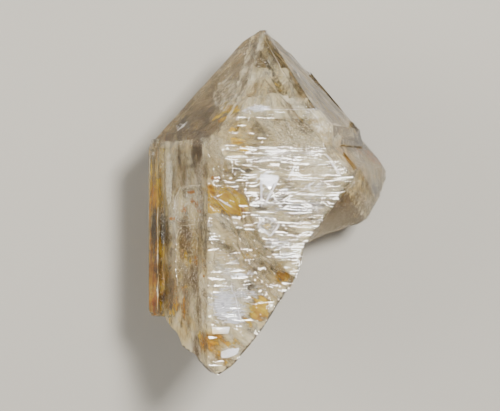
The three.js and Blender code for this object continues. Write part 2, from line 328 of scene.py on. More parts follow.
def front_plate(level):
    """Plate number level, counted up from the low field; a hair smaller than the plate above.
    Only the top plate shows a wide face, so it alone gets a fine grid."""
    inner = HAIR * (PLATES - level + 1)
    columns, row = ([48, 8, 3, 3, 3, 6], 0.07) if level == PLATES else ([40, 4, 2, 2, 2, 4], 0.13)
    plate_front = FRONT - (PLATES - level) * PLATE_RISE
    stacks = [
        [(PRISM, plate_front), (STEEP, STEEP_FRONT), (POINT, POINT_FACES[0] - inner)],
        [(PRISM, PLATE_RIGHT - inner), (POINT, SHEET_POINT[60] - inner)],
        [(PRISM, PLATE_BACK_RIGHT - inner), (POINT, SHEET_POINT[120] - inner)],
        [(PRISM, -PLATE_BACK - inner), (POINT, SHEET_POINT[180] - inner)],
        [(PRISM, SIDE - inner), (POINT, SHEET_POINT[240] - inner)],
        [(PRISM, SIDE - inner), (POINT, SHEET_POINT[300] - inner)],
    ]
    high = 9.0 - 0.1 * level
    return growth_unit(f"plate_{level}", stacks, low=-20.0, high=high, columns=columns, row=row)


def front_shoulder():
    """The main unit's own front at full height, where the top plate's sloping side leaves it bare."""
    inner = HAIR * (PLATES + 1)
    stacks = [
        [(PRISM, FRONT - inner), (STEEP, STEEP_FRONT - inner), (POINT, POINT_FACES[0] - inner)],
        [(PRISM, MAIN_RIGHT - inner), (POINT, POINT_FACES[60] - inner)],
        [(PRISM, MAIN_BACK_RIGHT - inner), (POINT, POINT_FACES[120] - inner)],
        [(PRISM, -PLATE_BACK - inner)],
        [(PRISM, SIDE - inner), (POINT, POINT_FACES[240] - inner)],
        [(PRISM, SIDE - inner), (POINT, POINT_FACES[300] - inner)],
    ]
    columns = [30, 4, 2, 2, 2, 4]
    return growth_unit("front_shoulder", stacks, low=-8.0, high=8.5, columns=columns, row=0.13)


print("plate tops in mm:", [FRONT - (PLATES - level) * PLATE_RISE for level in (1, 2, 3)])

# %% [markdown]
# ## Walls: plate edges and broken quartz
# A plate edge and a fracture are both walls that follow a line in plan. Quartz has no cleavage, so
# it breaks in shell-shaped dishes with faint ribs. A dish is a paraboloid sunk into the wall, and
# where several dishes meet the deepest one wins, which leaves the sharp crests between them.

# %% Everything outside a wall, as one solid
WALL_TOP = 12.5
WALL_REACH = 26.0


def along_line(line, count):
    """count points evenly spaced along a polyline, with the length travelled at each."""
    line = np.array(line, float)
    travelled = np.concatenate([[0], np.cumsum(np.hypot(*np.diff(line, axis=0).T))])
    wanted = np.linspace(0, travelled[-1], count)
    return np.stack([np.interp(wanted, travelled, line[:, a]) for a in (0, 1)], axis=1), wanted


def dish_depth(dishes, along, height):
    """The deepest of the dishes depth * (1 - r^2), with ribs cos(k r) fading at the rim."""
    at, level, radius, depth = (np.array(column)[:, None, None] for column in zip(*dishes))
    far = ((along - at) ** 2 + (height - level) ** 2) / radius**2
    ribs = 0.1 * np.cos(14 * np.sqrt(far)) * np.clip(1 - far, 0, 1)
    return np.clip(np.max(depth * (1 - far) + ribs, axis=0), 0, None)


def outside_of_wall(name, line, heart, inset, columns, rows, ragged):
    """The wall steps in from its line toward the heart point by inset(height, along, share); its
    line wanders by ragged millimetres. The solid reaches from the wall far outward."""
    points, along = along_line(line, columns)
    outward = points - np.array(heart, float)
    outward /= np.linalg.norm(outward, axis=1, keepdims=True)
    height = np.linspace(WALL_TOP, -WALL_TOP, rows)[None, :]
    distance = along[:, None]
    share = distance / along[-1]
    wander = ragged * rough_noise(distance * 0.9, height * 0.6, 7 + columns)
    step = inset(height, distance, share) + wander
    near = points[:, None] - outward[:, None] * step[..., None]
    wall = np.concatenate([near, np.broadcast_to(height, step.shape)[..., None]], axis=-1)
    far = points + outward * WALL_REACH
    top, low = np.full(columns, WALL_TOP), np.full(columns, -WALL_TOP)
    back = np.stack([np.column_stack([far, low]), np.column_stack([far, top])], axis=1)
    return closed_tube(name, to_metres(np.concatenate([wall, back], axis=1)))


# %% [markdown]
# ## The three walls of this crystal
# Each wall is a line drawn in plan, point by point, with an inset that says how far the wall leans
# in at each height. The lower break leans far in under the ragged tip, the lobe's break bulges in
# the middle, and a plate's edge is nearly upright. Dishes are listed by their place along the line,
# their height, radius and depth in millimetres.

# %% Lines, dishes and insets
LOWER_LINE = [
    [13.5, -1.4], [9.9, -3.8], [8.6, -5.4], [7.3, -7.1], [5.0, -10.2], [3.9, -11.6], [3.4, -14.0],
    [2.5, -16.6], [1.1, -18.8], [-0.8, -21.9], [-2.5, -23.9], [-4.4, -26.2], [-5.6, -27.0],
    [-6.6, -27.6], [-7.0, -27.3], [-8.1, -26.1], [-8.8, -25.0], [-10.0, -24.3], [-10.7, -22.9],
    [-11.8, -21.6], [-12.0, -20.6], [-14.5, -19.2],
]
LOWER_DISHES = [
    (6, 2, 7, 1.1), (14, -3, 6, 1.4), (19, 5, 4.5, 0.7), (24, -2, 6, 1.5),
    (31, 3, 4, 0.8), (35, -4, 6, 1.3), (29, -8, 5, 1.6), (9, -8, 5, 1.2),
]
LOBE_LINE = [
    [20.4, -3.1], [19.3, -3.8], [18.3, -5.1], [17.1, -7.0], [16.4, -8.4], [15.3, -9.2],
    [12.8, -10.0], [10.7, -10.6], [9.1, -11.3], [7.6, -12.0], [5.6, -12.2], [2.0, -11.6],
    [-4.0, -10.6],
]
LOBE_DISHES = [(4, 3, 5, 0.9), (9, -2, 4, 0.7), (12, 5, 4, 0.8), (15, -6, 5, 0.9)]
LOBE_FRONT, LOBE_BULGE = 6.5, -4.0
PLATE_LINE = [
    [-9.5, 0.0], [-6.9, -0.1], [-6.3, -1.5], [-5.8, -2.8], [-4.3, -4.8], [-3.4, -6.9],
    [-3.0, -8.8], [-2.0, -11.0], [-0.4, -13.1], [1.3, -15.0], [3.6, -17.1], [8.0, -22.0],
]
PLATE_SHIFT = np.array([-0.55, -0.4])
TIP_SHARE = 0.68


def lower_inset(height, along, share):
    """Leans in toward the back, most at the ragged tip, plus the dishes away from the front."""
    tipward = np.exp(-(((share - TIP_SHARE) / 0.25) ** 2))
    depth = np.clip((FRONT - height) / (FRONT + UNDERSIDE) - 0.25, 0, None)
    near_front = np.clip((FRONT - height) / 4, 0, 1)
    return (2 + 12 * tipward) * depth**1.5 + near_front * dish_depth(LOWER_DISHES, along, height)


def lobe_inset(height, along, share):
    """Bulges at mid-depth and slopes up and in to the edge of the front plates."""
    rise = (height - LOBE_BULGE) / (LOBE_FRONT - LOBE_BULGE)
    above = (7.6 - 3 * share) * np.clip(rise, 0, None) ** 1.2
    slope = above + 2.2 * np.clip(-rise, 0, None) ** 2
    return slope + 0.5 * dish_depth(LOBE_DISHES, along, height) * np.clip(np.abs(rise) + 0.1, 0, 1)


def plate_inset(height, along, share):
    """A plate's edge leans in a little as it rises."""
    return 0.12 * (height - 8) * np.ones_like(along)


def plate_edge(level):
    """The curved step where plate number level stops; lower plates reach farther left and down."""
    drop = PLATES - level
    line = np.array(PLATE_LINE) + PLATE_SHIFT * [drop, drop * (2 + drop + 1) * 0.8]
    return outside_of_wall(f"plate_edge_{level}", line, [9, -3], plate_inset, 190, 8, 0.13)


def lower_break():
    """Everything outside the broken lower end."""
    return outside_of_wall("lower_break", LOWER_LINE, [0, -6], lower_inset, 210, 60, 0.14)


def lobe_break():
    """Everything outside the lobe's broken lower side."""
    return outside_of_wall("lobe_break", LOBE_LINE, [8, -1], lobe_inset, 150, 60, 0.08)


# %% [markdown]
# ## The lobe and the left column
# At the right a second point grew parallel to the first, deeper in the group. Along the left edge
# two thin layers wrap the prism. Both are growth units with their own distances.

# %% Lobe and column
def right_lobe():
    """A second point: four sides of its own, and two flat ones deep inside the main unit."""
    inner = HAIR * (PLATES + 2)
    stacks = [
        [(PRISM, LOBE_FRONT), (POINT, POINT_FACES[0] - inner)],
        [(PRISM, LOBE_RIGHT), (POINT, SHEET_POINT[60] - inner)],
        [(PRISM, LOBE_BACK_RIGHT), (POINT, SHEET_POINT[120] - inner)],
        [(PRISM, UNDERSIDE), (POINT, SHEET_POINT[180] - inner)],
        [(PRISM, 2.0)],
        [(PRISM, 2.0)],
    ]
    columns = [16, 40, 12, 16, 3, 3]
    return growth_unit("right_lobe", stacks, low=-14.0, high=9.5, columns=columns, row=0.16)


def left_layer(rise, width, foot):
    """A thin layer on both left faces that ends in a plane facing right. Its foot narrows along
    two slopes."""
    inner = HAIR * 3
    slopes = [(150.0, foot * 0.866 + 6.3), (115.0, foot * 0.4226 + 11.75)]
    stacks = [[(PRISM, -width)]]
    for turn in (240, 300):
        top = (POINT, POINT_FACES[turn] + rise * 0.5 - inner)
        stacks.append([*slopes, (PRISM, SIDE + rise), top])
    turns = [90, 240, 300]
    return growth_unit("left_layer", stacks, low=-foot, high=1.4, columns=[12, 7, 7], row=0.16, turns=turns)


# %% [markdown]
# ## One body
# The units are joined and carved by booleans, in the order in which they cover one another: plates
# over the main unit, then the break below, then the lobe and the left layers, which keep their own
# ends. No two of them share a plane, since each is a hair larger or smaller than the next.

# %% Join the units
body = main_unit()
for level in range(1, PLATES + 1):
    joined(body, carved(front_plate(level), plate_edge(level)))
joined(body, carved(front_shoulder(), plate_edge(PLATES)))
carved(body, lower_break())
joined(body, carved(right_lobe(), lobe_break()))
joined(body, left_layer(0.2, 11.75, 20.75), left_layer(0.4, 12.38, 20.4))
print("joined body:", len(body.data.vertices), "vertices")

# %% [markdown]
# ## Windows and etched figures
# A skeletal crystal grows faster along its edges than in the middle of its faces, so the middles
# stay behind as windows with stepped frames. Weak acid later etched a long triangle, a diamond and
# a scaly oval into the front face. All are hollows with flat floors, so one function cuts them:
# an outline drawn on a face and carried inward in steps, each step a little smaller.

# %% Sink stepped hollows into a face
def face_axes(azimuth, tilt):
    """Outward normal of a crystal face, with its level direction and its upward direction."""
    a, t = np.radians([azimuth, tilt])
    normal = np.array([np.sin(a) * np.sin(t), np.cos(t), np.cos(a) * np.sin(t)])
    level = np.array([np.cos(a), 0.0, -np.sin(a)])
    return normal, level, np.cross(normal, level)


def on_face(face, s, t, out):
    """The point s along, t up and out above a face given as (azimuth, tilt, distance)."""
    normal, level, upward = face_axes(*face[:2])
    s, t, out = (np.asarray(value, float)[..., None] for value in (s, t, out))
    return s * level + t * upward + (face[2] + out) * normal


def drawn_outline(corners, count, easing):
    """A closed polygon as count even points, its corners eased by averaging each with the next."""
    points = along_line(np.vstack([corners, corners[:1]]), count + 1)[0][:-1]
    for _ in range(easing):
        points = (np.roll(points, 1, axis=0) + 2 * points + np.roll(points, -1, axis=0)) / 4
    return points


def hollow(name, face, corners, depth, steps=1, inset=0.0, ragged=0.05, easing=4):
    """Rings of one outline, scaled about its middle by 1 - inset / half width at each step, while
    the floor drops by depth. Each step's rim wanders by its own noise."""
    outline = drawn_outline(np.array(corners, float), 180, easing)
    middle = (outline.max(axis=0) + outline.min(axis=0)) / 2
    half = np.ptp(outline, axis=0) / 2
    angle = np.linspace(0, LATTICE, 180, endpoint=False)
    rings = []
    for step in range(steps):
        uneven = rough_noise(angle, np.full(180, 3.7 * step), len(name), 2)
        wander = 1 + ragged * uneven[:, None] / half
        ring = middle + (outline - middle) * (1 - inset * step / half) * wander
        for out in (0.5 if step == 0 else -depth * step, -depth * (step + 1)):
            rings.append(on_face(face, ring[:, 0], ring[:, 1], out))
    return closed_tube(name, to_metres(np.array(rings)))


def window_frame(left, bottom, right, top):
    """A window's outline: square below, arched above."""
    clip = min(right - left, top - bottom) * 0.28
    peak = (left + right) / 2
    return [
        [left, bottom], [right, bottom],
        [right, top - clip], [right - clip * 0.6, top - clip * 0.25],
        [peak, top], [left + clip * 0.6, top - clip * 0.25], [left, top - clip],
    ]


FRONT_FACE = (0, PRISM, FRONT)
LEFT_FACE = (-60, PRISM, SIDE)
WINDOWS = [
    (LEFT_FACE, (-2.5, -9.0, 3.1, -4.6), 0.28, 2, 0.35),
    (LEFT_FACE, (-2.1, -16.9, 2.2, -9.3), 0.2, 2, 0.3),
    ((-120, PRISM, SIDE), (-3.2, -15.5, 3.4, -2.6), 0.45, 4, 0.55),
    ((120, PRISM, LOBE_BACK_RIGHT), (-3.2, -6.4, -0.6, -1.6), 0.25, 3, 0.35),
    ((180, PRISM, UNDERSIDE), (-8.5, -14.5, 2.8, -2.2), 0.4, 4, 0.9),
    ((180, POINT, POINT_FACES[180]), (-5.2, 2.2, 2.4, 8.4), 0.25, 3, 0.6),
]
TRIANGLE = [[-1.5, -2.7], [-1.1, -7.1], [0.9, -3.4]]
DIAMOND = [[-2.0, -9.5], [-0.5, -10.8], [0.9, -9.4], [-0.7, -8.2]]
DIAMOND_FLOOR = [[-1.3, -9.5], [-0.5, -10.1], [0.3, -9.4], [-0.6, -8.8]]
OVAL = [[4.1, -4.7], [4.6, -5.3], [5.5, -5.5], [6.4, -5.2], [6.6, -4.6], [6.1, -4.0], [5.1, -3.8]]

for count, (face, frame_box, depth, steps, inset) in enumerate(WINDOWS):
    carved(body, hollow(f"window_{count}", face, window_frame(*frame_box), depth, steps, inset, 0.09))
carved(
    body,
    hollow("triangle", FRONT_FACE, TRIANGLE, 0.16, ragged=0.03, easing=1),
    hollow("diamond", FRONT_FACE, DIAMOND, 0.14, ragged=0.06, easing=1),
    hollow("diamond_floor", FRONT_FACE, DIAMOND_FLOOR, 0.3, ragged=0.06, easing=1),
    hollow("oval", FRONT_FACE, OVAL, 0.06, 2, 0.3, 0.04),
)
print("with windows:", len(body.data.vertices), "vertices")

# %% [markdown]
# ## Small chips
# Edges of loose crystals get knocked. Each chip is a lumpy ball cut from the edge, which leaves a
# small shell-shaped scar. A chip is listed as its ball's middle and radius.

# %% Knock chips out of the edges
CHIPS = [
    (14.5, 3.6, -2.1, 1.1), (-6.4, 0.2, 12.0, 0.9), (9.3, -0.5, 11.9, 0.8),
    (-13.9, -20.7, 0.4, 1.1), (-13.4, -0.4, 0.9, 0.7), (14.6, -9.9, -9.8, 1.6),
]


def lumpy_ball(name, x, y, z, radius):
    """Circles of latitude: radius * (1 + 0.1 noise), over latitude and longitude."""
    latitude = np.linspace(-np.pi / 2, np.pi / 2, 22)[:, None]
    longitude = np.linspace(0, 2 * np.pi, 32, endpoint=False)[None, :]
    across = np.cos(latitude)
    upward = np.sin(latitude) + 0 * longitude
    ball = np.stack([across * np.cos(longitude), across * np.sin(longitude), upward], axis=-1)
    lumps = rough_noise(ball[..., 0] * 1.5 + x, ball[..., 1] * 1.5 + ball[..., 2] + z, 3, 3)
    return closed_tube(name, to_metres(ball * (radius * (1 + 0.1 * lumps))[..., None] + [x, y, z]))


for count, chip in enumerate(CHIPS):
    carved(body, lumpy_ball(f"chip_{count}", *chip))
body.name = "quartz_body"
body.data.name = "quartz_body"

# %% [markdown]
# ## Where a speck in the photograph lies in the stone
# Things grown into the crystal sit just under a face. A line of sight from the camera through a
# pixel meets that face's plane in one point, and this gives each inclusion its true place.

# %% From a pixel to a point under a face
PIXELS = (500, 411)


def sight_line(ix, iy):
    """The camera's place, and the direction through each pixel, in the growth frame."""
    camera = bpy.context.scene.camera.matrix_world
    here = np.array(camera.translation) / MM - GROWTH_ORIGIN
    across = (np.asarray(ix, float) - PIXELS[0] / 2) / PIXELS[0] * SENSOR_WIDTH / LENS
    upward = (PIXELS[1] / 2 - np.asarray(iy, float)) / PIXELS[0] * SENSOR_WIDTH / LENS
    way = np.stack([across, upward, -np.ones_like(across)], axis=-1)
    return here, way @ np.array(camera.to_3x3()).T


def seen_on(face, ix, iy):
    """Face coordinates (s, t) of the points that the pixels show on a face."""
    normal, level, upward = face_axes(*face[:2])
    here, way = sight_line(ix, iy)
    point = here + way * ((face[2] - here @ normal) / (way @ normal))[..., None]
    return point @ level, point @ upward


def pixel_of(points):
    """Where the camera shows each point: across and up over depth, times lens over sensor width."""
    camera = bpy.context.scene.camera.matrix_world
    local = (to_metres(points) - np.array(camera.translation)) @ np.array(camera.to_3x3())
    spread = LENS / SENSOR_WIDTH * PIXELS[0] / -local[..., 2]
    return PIXELS[0] / 2 + local[..., 0] * spread, PIXELS[1] / 2 - local[..., 1] * spread


LOW_FIELD = (0, PRISM, FRONT - PLATES * PLATE_RISE)
STEEP_FACE = (0, STEEP, STEEP_FRONT)
TIP_FRONT = (0, POINT, POINT_FACES[0])
TIP_LEFT = (-60, POINT, POINT_FACES[300])
TIP_RIGHT = (60, POINT, POINT_FACES[60])
LOBE_SLOPE = (60, POINT, SHEET_POINT[60])
LOBE_END = (60, PRISM, LOBE_RIGHT)
COLUMN_FACE = (-60, PRISM, SIDE + 0.4)
print("the shoulder's left end in mm:", np.round(seen_on(FRONT_FACE, 213, 150), 2))

# %% [markdown]
# ## Striations and growth hillocks
# Across a quartz prism run fine level steps, where growth wavered between the upright face and
# the sloping one. The sloping faces carry low three-sided hillocks instead. Both are real relief
# here: every point that lies on a known face moves along that face's normal. The steps follow a
# saw-tooth in height whose phase wanders, so that lines start, run out and join as real ones do.

# %% Relief as a height over each face
ON_FACE = 0.03
SHARP_ANGLE = 24


def striation_height(s, t, seed, pitch, depth):
    """Saw-tooth of the phase t / pitch + noise: a slow rise, a quick fall; its depth wanders too."""
    phase = t / pitch + 0.6 * rough_noise(s / 6, t / 1.3, seed, 4)
    tooth = phase - np.floor(phase)
    tooth = np.minimum(tooth / 0.7, (1 - tooth) / 0.3)
    strength = np.clip(0.35 + 1.3 * rough_noise(s / 1.3, t / 0.45, seed + 9, 3), 0.05, 1.5)
    return -depth * strength * tooth


def hillock_height(s, t, seed, pitch, depth):
    """Low three-sided pyramids: the nearest of scattered peaks, by a three-sided distance."""
    spots = np.random.default_rng(seed).uniform([-9, -9], [9, 12], (26, 2))
    right, up = s[:, None] - spots[:, 0], t[:, None] - spots[:, 1]
    slopes = np.stack([-up, 0.866 * right + 0.5 * up, -0.866 * right + 0.5 * up])
    nearest = slopes.max(axis=0).min(axis=1)
    return -depth * (np.minimum(nearest / pitch, 1.5) + 0.3 * rough_noise(s / 2, t / 2, seed, 3))


# Each row: the kind of relief, its face, its pitch and its depth in millimetres.
RELIEF = [
    (striation_height, (0, PRISM, FRONT), 0.36, 0.06),
    (striation_height, (0, PRISM, FRONT - PLATE_RISE), 0.5, 0.06),
    (striation_height, (0, PRISM, FRONT - 2 * PLATE_RISE), 0.5, 0.06),
    (striation_height, (0, PRISM, FRONT - 3 * PLATE_RISE), 0.45, 0.065),
    (striation_height, (0, STEEP, STEEP_FRONT), 0.36, 0.03),
    (striation_height, (60, PRISM, MAIN_RIGHT), 0.5, 0.05),
    (striation_height, (60, PRISM, LOBE_RIGHT), 0.7, 0.12),
    (striation_height, (60, PRISM, PLATE_RIGHT), 0.5, 0.06),
    (striation_height, (120, PRISM, MAIN_BACK_RIGHT), 0.5, 0.05),
    (striation_height, (120, PRISM, LOBE_BACK_RIGHT), 0.5, 0.05),
    (striation_height, (240, PRISM, SIDE), 0.8, 0.04),
    (striation_height, (300, PRISM, SIDE), 0.8, 0.025),
    (striation_height, (300, PRISM, SIDE + 0.4), 0.7, 0.03),
    (hillock_height, (0, POINT, POINT_FACES[0]), 2.0, 0.05),
    (hillock_height, (60, POINT, POINT_FACES[60]), 1.6, 0.2),
    (hillock_height, (60, POINT, SHEET_POINT[60]), 1.5, 0.4),
    (hillock_height, (120, POINT, POINT_FACES[120]), 1.8, 0.07),
    (hillock_height, (180, POINT, POINT_FACES[180]), 1.8, 0.07),
    (hillock_height, (240, POINT, POINT_FACES[240]), 1.8, 0.07),
    (hillock_height, (300, POINT, POINT_FACES[300]), 2.2, 0.06),
]

# Places where the lines are faint: a face, the pixel at the middle, the reach in millimetres, and
# how much of the relief is gone there.
CALM = [
    (LOW_FIELD, (224, 200), (3.4, 1.7, 1), 0.9), (LOW_FIELD, (234, 234), (3.0, 2.4, 1), 0.7),
    (FRONT_FACE, (230, 172), (2.8, 2.2, 1), 0.85), (FRONT_FACE, (312, 168), (2.8, 1.7, 1), 0.8),
    (FRONT_FACE, (275, 172), (4.0, 1.4, 1), 0.6),
    (STEEP_FACE, (300, 130), (4.0, 2.5, 3), 0.85), (STEEP_FACE, (238, 135), (2.2, 2.0, 2), 0.6),
    (LOW_FIELD, (258, 310), (1.3, 1.2, 1), 0.6), (LOW_FIELD, (226, 345), (3.2, 1.3, 2), 0.7),
    (LOW_FIELD, (262, 262), (1.6, 2.0, 1), 0.6),
]


def calmness(points):
    """The strongest of the calm patches' bells strength * exp(-far^2) at each point."""
    total = np.zeros(len(points))
    for face, pixel, reach, strength in CALM:
        far = (((points - on_face(face, *seen_on(face, *pixel), 0)) / reach) ** 2).sum(axis=1)
        total = np.maximum(total, strength * np.exp(-far))
    return total


def body_points(piece):
    """The mesh points in growth-frame millimetres."""
    flat = np.empty(len(piece.data.vertices) * 3)
    piece.data.vertices.foreach_get("co", flat)
    return flat.reshape(-1, 3) / MM - GROWTH_ORIGIN


def lay_relief(piece):
    """Adds each face's height to the points within ON_FACE millimetres of it, along its normal.
    Returns where the points were, and which of them lie on any face."""
    points = body_points(piece)
    moved = points.copy()
    kept = 1 - calmness(points)
    on_any = np.zeros(len(points), bool)
    for seed, (height, face, pitch, depth) in enumerate(RELIEF):
        normal, level, upward = face_axes(*face[:2])
        here = np.abs(points @ normal - face[2]) < ON_FACE
        rise = height(points[here] @ level, points[here] @ upward, 100 + 7 * seed, pitch, depth)
        moved[here] += (rise * kept[here])[:, None] * normal
        on_any |= here
    piece.data.vertices.foreach_set("co", to_metres(moved).ravel())
    piece.data.update()
    return points, on_any


grown_points, on_face_mask = lay_relief(body)
body.data.polygons.foreach_set("use_smooth", np.ones(len(body.data.polygons), bool))
body.data.set_sharp_from_angle(angle=np.radians(SHARP_ANGLE))
body.data.calc_loop_triangles()
print("relief on", int(on_face_mask.sum()), "points;", len(body.data.loop_triangles), "triangles")

# %% [markdown]
# ## Clear, faintly smoky glass
# Quartz is clear, so the surface only bends and mirrors light, and the faint tan comes from the
# depth of stone that light has crossed. In Blender that is full transmission, quartz's index of
# 1.544 and an absorbing volume. The rest is in the surface: hair-fine striations on the upright
# faces, a light etch, and a rough, frosted skin where the stone is broken. Four point attributes
# say where the stone is striated, broken, stained by iron or smoky, so the finish follows the shape
# from every side. On the lobe and the left column the smoke is painted shade as well.

# %% Say where the surface is striated and where it is broken
def set_attribute(piece, name, values):
    """One number or vector for each mesh point, kept under a name that a material can read."""
    kind, key = ("FLOAT", "value") if values.ndim == 1 else ("FLOAT_VECTOR", "vector")
    kept = piece.data.attributes.new(name, kind, "POINT")
    kept.data.foreach_set(key, values.astype(np.float32).ravel())


upright = grown_points[:, 1] < 0.3
set_attribute(body, "striated", np.where(upright, 1.0, 0.25) * on_face_mask)
set_attribute(body, "broken", 1.0 - on_face_mask)

# %% Say where iron, smoke and painted shade lie
# Each patch: the face and pixel at its middle, its reach along x, y and z in millimetres, its
# strength, and the direction in degrees that its streaks follow.
IRON_STAINS = [
    (COLUMN_FACE, (152, 285), (0.9, 6.0, 4.0), 1.0, 90),
    (COLUMN_FACE, (152, 215), (0.7, 6.0, 4.0), 0.5, 90),
    (COLUMN_FACE, (166, 288), (0.8, 2.0, 2.0), 0.9, 70),
    (LEFT_FACE, (187, 255), (2.0, 4.6, 3.0), 0.4, 90),
    (LEFT_FACE, (185, 320), (1.8, 2.6, 3.0), 0.3, -40),
    (LOBE_SLOPE, (368, 154), (2.4, 1.5, 3.0), 0.9, -45),
    (LOBE_SLOPE, (346, 152), (4.0, 3.0, 5.0), 0.35, -45),
    (LOBE_END, (362, 190), (4.0, 3.0, 5.0), 0.35, -60),
    (TIP_RIGHT, (328, 100), (1.0, 2.6, 2.5), 0.4, -50),
    (LOW_FIELD, (209, 340), (1.6, 1.4, 2.0), 0.6, -30),
    (LOW_FIELD, (284, 276), (1.6, 0.9, 1.5), 0.7, -50),
    (LOW_FIELD, (209, 188), (1.0, 0.5, 1.0), 0.6, -20),
    (STEEP_FACE, (240, 135), (1.6, 2.2, 2.0), 0.3, 0),
]
# Smoke patches. On the lobe and the left column they are painted shade as well, where the faces mirror dark
# surroundings.
SMOKE_AND_SHADE = [
    (TIP_LEFT, (207, 103), (5.0, 5.0, 5.0), 0.7, 48),
    (TIP_LEFT, (190, 132), (4.0, 2.6, 4.0), 1.0, 48),
    (LEFT_FACE, (187, 165), (3.4, 2.6, 4.0), 0.75, 90),
    (LEFT_FACE, (188, 255), (2.6, 6.0, 3.0), 0.3, 90),
    (COLUMN_FACE, (155, 232), (1.1, 10.0, 4.0), 1.0, 90),
    (TIP_RIGHT, (305, 75), (3.0, 6.0, 6.0), 0.35, -48),
    (LOBE_SLOPE, (356, 138), (3.0, 2.0, 4.0), 1.0, -45),
    (LOBE_END, (372, 185), (2.0, 2.0, 3.0), 0.6, -60),
    (TIP_FRONT, (258, 69), (0.7, 0.6, 1.5), 0.8, 20),
    (STEEP_FACE, (261, 135), (1.3, 1.8, 2.0), 0.7, 0),
    (FRONT_FACE, (238, 172), (2.0, 2.0, 2.0), 0.7, 0),
    (LEFT_FACE, (205, 238), (0.8, 3.6, 1.5), 0.9, 90),
    (LOW_FIELD, (235, 235), (3.0, 2.6, 2.0), 0.6, -40),
    (LOW_FIELD, (270, 262), (2.4, 2.8, 2.5), 0.8, -55),
    (LOW_FIELD, (222, 356), (3.0, 1.6, 3.0), 0.4, -30),
]


def patch_strength(points, patches, seed):
    """The strongest of bell-shaped patches, each broken into streaks by noise that is drawn out
    four times along the patch's own direction in x and y."""
    total = np.zeros(len(points))
    for count, (face, pixel, reach, strength, turn) in enumerate(patches):
        middle = on_face(face, *seen_on(face, *pixel), 0)
        far = (((points - middle) / reach) ** 2).sum(axis=1)
        a = np.radians(turn)
        along = points[:, 0] * np.cos(a) + points[:, 1] * np.sin(a)
        across = points[:, 1] * np.cos(a) - points[:, 0] * np.sin(a) + points[:, 2] * 0.5
        streaks = 0.7 + 0.8 * rough_noise(along * 0.45, across * 1.8, seed + count, 4)
        total = np.maximum(total, strength * np.exp(-far) * np.clip(streaks, 0, 1.4))
    return np.clip(total, 0, 1)


set_attribute(body, "stained", patch_strength(grown_points, IRON_STAINS, 31))
set_attribute(body, "smoke_and_shade", patch_strength(grown_points, SMOKE_AND_SHADE, 61))
print("broken points:", int((~on_face_mask).sum()))

# %% [markdown]
# ## Building a material from nodes
# A material is a small network: noises and attributes go in at the left, arithmetic mixes them, and
# the shader's sockets take the results. A few helpers keep each such network to a few lines.

# %% Helpers for building materials
def node(tree, kind, inputs=None, **settings):
    """Adds a shader node, sets its properties, and fills its inputs with values or other outputs."""
    made = tree.nodes.new(kind)
    for key, value in settings.items():
        setattr(made, key, value)
    for key, value in (inputs or {}).items():
        if isinstance(value, bpy.types.NodeSocket):
            tree.links.new(value, made.inputs[key])
        else:
            made.inputs[key].default_value = value
    return made


def new_material(name):
    """An empty material, its node tree and its main shader."""
    material = bpy.data.materials.new(name)
    material.use_nodes = True
    tree = material.node_tree
    return material, tree, tree.nodes["Principled BSDF"]


def noise_on(tree, scale, detail=3.0, roughness=0.55, stretch=(1, 1, 1)):
    """Noise over Object coordinates; scale counts blobs for each metre, stretch squeezes an axis."""
    place = tree.nodes.new("ShaderNodeTexCoord").outputs["Object"]
    mapped = node(tree, "ShaderNodeMapping", {"Vector": place, "Scale": stretch})
    inputs = {"Vector": mapped.outputs[0], "Scale": scale, "Detail": detail, "Roughness": roughness}
    return node(tree, "ShaderNodeTexNoise", inputs).outputs["Fac"]


def between(tree, value, low, high, to_low, to_high):
    """The value moved in proportion from the range low..high to to_low..to_high, and kept there."""
    inputs = {0: value, 1: low, 2: high, 3: to_low, 4: to_high}
    return node(tree, "ShaderNodeMapRange", inputs).outputs[0]


def times(tree, first, second):
    """first times second."""
    return node(tree, "ShaderNodeMath", {0: first, 1: second}, operation="MULTIPLY").outputs[0]


def plus(tree, first, second):
    """first plus second."""
    return node(tree, "ShaderNodeMath", {0: first, 1: second}, operation="ADD").outputs[0]


def colour_ramp(tree, value, stops):
    """A ramp through (place, colour) stops."""
    ramp = node(tree, "ShaderNodeValToRGB", {"Fac": value})
    for place, _ in stops[1:-1]:
        ramp.color_ramp.elements.new(place)
    for element, (place, colour) in zip(ramp.color_ramp.elements, stops):
        element.position = place
        element.color = (*colour, 1)
    return ramp.outputs[0]


# %% [markdown]
# ## The quartz itself
# The glass takes its tan from the volume, where light loses blue with every millimetre. The skin
# adds what the stone's outside has: bump from hairlines, etch, grit and dents, each let through
# only where its attribute says so, and a roughness that is highest where the stone is broken.

# %% The quartz glass
ABSORBED = (0.8, 0.62, 0.16, 1)
ABSORPTION_DENSITY = 60
QUARTZ_IOR = 1.544
ETCH, GRIT, DENTS = 0.3, 0.8, 11.0
BUMP_HEIGHT = 0.02 * MM


